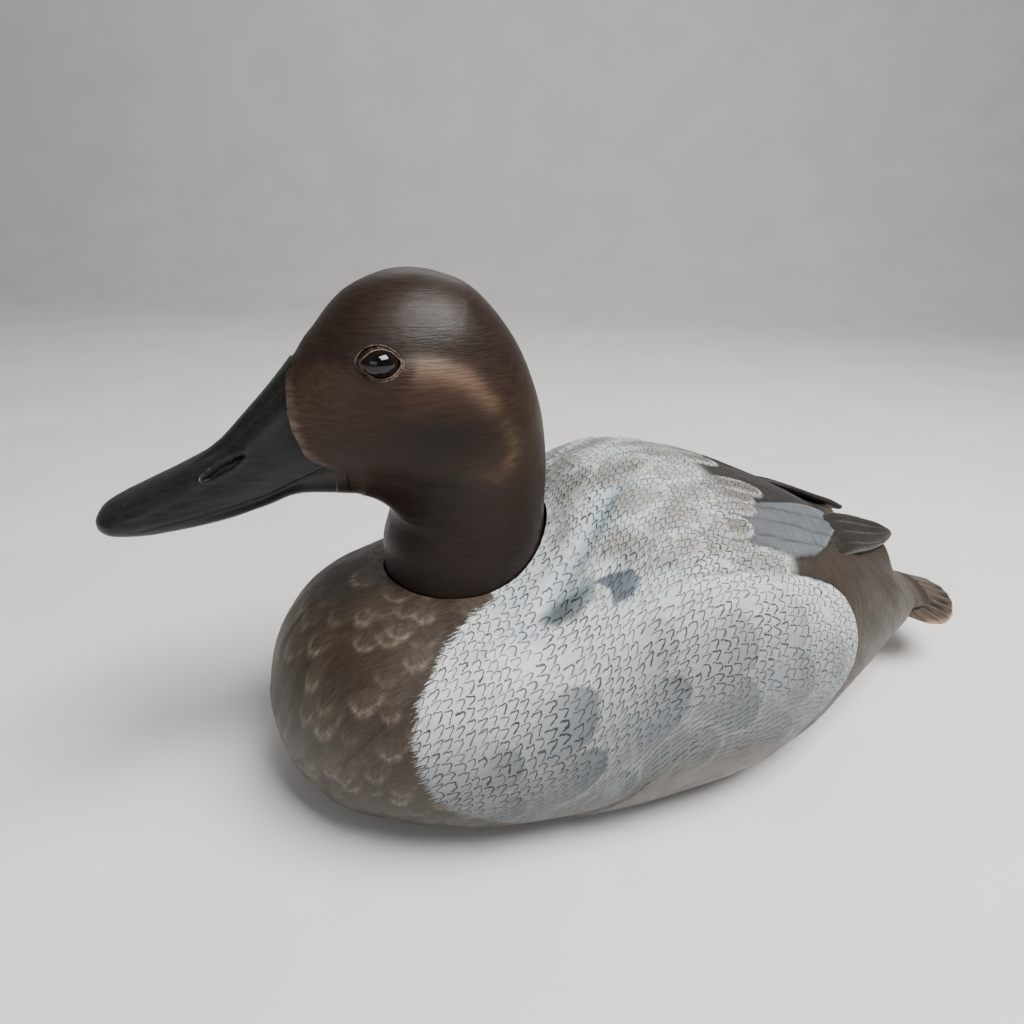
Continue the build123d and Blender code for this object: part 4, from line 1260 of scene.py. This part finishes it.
count, ring = 220, 260
q = np.linspace(0, 1, count)
st = TAIL[0, 0] + (TAIL_TIP - TAIL[0, 0]) * (1 - (1 - q) ** 1.25)
table = cubic(st, TAIL[:, 0], TAIL[:, 1:])
t = np.arange(ring) / ring * 2 * pi
c = np.cos(t)[None, :]
half, thick = table[:, 1:2], table[:, 2:3]
droop = TAIL_DROOP * (half / TAIL_HALF) ** 2
x = half * c
fan = np.arctan2(x, st[:, None] - TAIL_FAN) / radians(TAIL_FAN_HALF)      # -1 to 1
lanes = np.abs(fan) * 4.6
lane = lanes - np.floor(lanes)
upper = (np.sin(t) > 0)[None, :]
step = 0.45 * smooth(lane, 0.05, 0.98) * upper * smooth(st, 302, 316)[:, None]
step = step * (1 - smooth(np.abs(c), 0.93, 1.0))
z = table[:, 0:1] - thick / 2 - droop * c**2 + thick / 2 * signed_power(np.sin(t), 0.85)[None, :] + step
pts = np.stack([x, np.broadcast_to(st[:, None] - MIDDLE, x.shape), z], -1).reshape(-1, 3)
all_pts, polys = closed_tube(pts, count, ring)
edge_gap = np.minimum((1 - np.abs(c)) * half, (TAIL_TIP - st)[:, None] * 0.9)
blotch = bell(edge_gap - 5.5, 3.2) * bell(lane - 0.5, 0.36, 4) * smooth(st, 312, 324)[:, None]
root = (1 - smooth(st, 298, 316))[:, None] * np.ones_like(c)
# painted highlight: a pale glint along the raised edge of each tail feather
edge_glint = bell(lane - 0.93, 0.05) * upper * smooth(st, 314, 326)[:, None]
pale_rim = bell(edge_gap, 0.8) * smooth(st, 316, 326)[:, None]
colour = np.tile(tone(80, 66, 56), (len(pts), 1))
colour = over(colour, tone(20, 17, 16), blotch * upper)
colour = over(colour, tone(48, 40, 35), root * 0.7)
colour = over(colour, tone(150, 138, 124), edge_glint * 0.4)
colour = over(colour, tone(158, 134, 112), pale_rim * 0.85)
dark_line = (bell(np.minimum(lane, 1 - lane), 0.06) * upper * smooth(st, 304, 318)[:, None]).ravel()
out_along = np.hypot(x, st[:, None] - TAIL_FAN).ravel()
chart = np.c_[out_along, fan.ravel() * 20, pts[:, 2] * 0.3]
plume_piece("tail_fan", all_pts, polys, tail_paint, "tail_paint", "tail", colour, chart, dark_line)


# ---------------------------------------------------------------- hardware and underside

def metal_material(name, light, dark, rough, scratch, metallic=1.0):
    m = Paint(name)
    where = m.place()
    tarnish = m.noise(where, scale=0.35, detail=5)
    lines = m.noise(where, (0.4, 6.0, 6.0), scale=1.0, detail=3, shift=5)
    pits = m.noise(where, scale=2.2, detail=3, shift=9)
    colour = m.mix(m.ramp(tarnish, 0.35, 0.65), light, dark)
    m.bump(m.weigh(lines, 0.5, pits, 0.5), scratch)
    return m.done(colour, m.add(rough, m.times(m.add(tarnish, -0.5), 0.35)), metallic=metallic)


def wood_material(name, light, dark, paint_colour=None):
    m = Paint(name)
    where = m.place()
    grain = m.noise(where, (3.0, 0.05, 3.0), scale=0.6, detail=5, rough=0.6)
    pores = m.noise(where, (5.0, 0.12, 5.0), scale=1.1, detail=3, shift=4)
    colour = m.mix(m.ramp(grain, 0.3, 0.7), light, dark)
    colour = m.shade(colour, m.ramp(pores, 0.35, 0.6, 0.78, 1.06))
    if paint_colour is not None:
        strokes = m.noise(where, (0.5, 0.06, 0.5), scale=0.9, detail=4, shift=12)
        scuffs = m.noise(where, scale=0.16, detail=6, rough=0.7, shift=17)
        coat = m.shade(paint_colour, m.ramp(strokes, 0.3, 0.7, 0.78, 1.2))
        colour = m.mix(m.ramp(scuffs, 0.56, 0.64), coat, colour)
    m.bump(m.weigh(grain, 0.6, pores, 0.4), 0.25)
    return m.done(colour, m.ramp(grain, 0.3, 0.7, 0.5, 0.66), specular=0.35)


def nylon_material():
    m = Paint("nylon")
    where = m.place()
    haze = m.noise(where, scale=0.5, detail=4)
    m.bump(haze, 0.05)
    colour = m.mix(m.ramp(haze, 0.3, 0.7), tone(226, 222, 212), tone(204, 199, 186))
    return m.done(colour, m.ramp(haze, 0.3, 0.7, 0.4, 0.55))


brass = metal_material("brass", tone(186, 150, 82), tone(112, 82, 44), 0.36, 0.08)
steel = metal_material("steel", tone(178, 180, 184), tone(128, 132, 136), 0.34, 0.06)
lead = metal_material("lead", tone(112, 116, 122), tone(78, 80, 84), 0.58, 0.35, metallic=0.85)
finishes = {
    "bottom_board": wood_material("board_paint", tone(176, 140, 98), tone(128, 92, 58), tone(104, 92, 82)),
    "tail_pins": wood_material("dowel", tone(206, 172, 120), tone(170, 130, 82)),
    "neck_washer": nylon_material(), "ballast_weight": lead,
}
finishes["locating_dowels"] = finishes["tail_pins"]
for node in ("board_screws", "ballast_screws", "line_tie_plate", "line_tie_ring", "line_tie_screws"):
    finishes[node] = brass
for node in ("head_bolt", "bolt_washer", "spring_washer", "lock_nut"):
    finishes[node] = steel
for node, material in finishes.items():
    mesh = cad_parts[node].data
    mesh.materials.clear()
    mesh.materials.append(material)


# ---------------------------------------------------------------- floor, light and camera

def floor_material():
    m = Paint("studio_floor")
    where = m.place()
    haze = m.noise(where, scale=0.01, detail=3)
    colour = m.mix(m.ramp(haze, 0.3, 0.7), tone(226, 225, 222), tone(233, 232, 230))
    return m.done(colour, 0.7, specular=0.2)


# The floor runs back and curves up into a wall, turned to face the camera
FLOOR_FRONT, FLOOR_BACK, FLOOR_HALF, SWEEP_RADIUS, WALL_TOP = -3000, 1100, 3900, 500, 2600
sweep = [radians(k * 9) for k in range(1, 11)]
profile = [(FLOOR_FRONT, 0), (FLOOR_BACK, 0)]
profile += [(FLOOR_BACK + SWEEP_RADIUS * sin(a), SWEEP_RADIUS * (1 - cos(a))) for a in sweep]
profile += [(FLOOR_BACK + SWEEP_RADIUS, WALL_TOP)]
sweep_points = np.array([(x, y, z) for y, z in profile for x in (-FLOOR_HALF, FLOOR_HALF)])
turn = radians(69)
spin = np.array([[cos(turn), sin(turn), 0], [-sin(turn), cos(turn), 0], [0, 0, 1]])
mesh = bpy.data.meshes.new("studio_floor")
mesh.from_pydata((sweep_points @ spin * MM).tolist(), [], [list(f) for f in grid_faces(len(profile), 2)])
mesh.polygons.foreach_set("use_smooth", [True] * len(mesh.polygons))
mesh.materials.append(floor_material())
floor = bpy.data.objects.new("studio_floor", mesh)
bpy.context.scene.collection.objects.link(floor)


def soft_light(name, place, target, width, height, power, colour=(1, 1, 1)):
    data = bpy.data.lights.new(name, "AREA")
    data.shape = "RECTANGLE"
    data.size, data.size_y = width, height
    data.energy = power
    data.color = colour
    lamp = bpy.data.objects.new(name, data)
    lamp.location = place
    lamp.rotation_mode = "QUATERNION"
    lamp.rotation_quaternion = (Vector(target) - Vector(place)).to_track_quat("-Z", "Y")
    bpy.context.scene.collection.objects.link(lamp)


soft_light("overhead", (0.40, 0.25, 1.0), (0, 0, 0.06), 0.7, 0.5, 24.0, (1.0, 0.985, 0.96))
soft_light("front_fill", (0.9, -0.9, 0.55), (0, 0, 0.08), 0.9, 0.6, 2.8, (0.97, 0.985, 1.0))
soft_light("back_rim", (-0.9, 0.25, 0.8), (0, 0, 0.08), 0.7, 0.4, 1.6)

world = bpy.data.worlds.new("studio")
bpy.context.scene.world = world
world.use_nodes = True
world.node_tree.nodes["Background"].inputs["Color"].default_value = (0.93, 0.93, 0.92, 1)
world.node_tree.nodes["Background"].inputs["Strength"].default_value = 0.20

# A wide lens close to the decoy, on its left and a little above, as in the photograph
CAMERA_STATION = 48
CAMERA_ROLL = 1.8
camera_data = bpy.data.cameras.new("camera")
camera_data.lens = 25.49
camera_data.sensor_width = 36
camera_data.clip_start = 0.01
camera = bpy.data.objects.new("camera", camera_data)
bpy.context.scene.collection.objects.link(camera)
camera.location = (0.216, (CAMERA_STATION - MIDDLE) * MM, 0.1907)
look = Vector((-0.860, 0.327, -0.391))
camera.rotation_mode = "QUATERNION"
roll = Matrix.Rotation(radians(CAMERA_ROLL), 3, "Z")
camera.rotation_quaternion = (look.to_track_quat("-Z", "Y").to_matrix() @ roll).to_quaternion()
bpy.context.scene.camera = camera
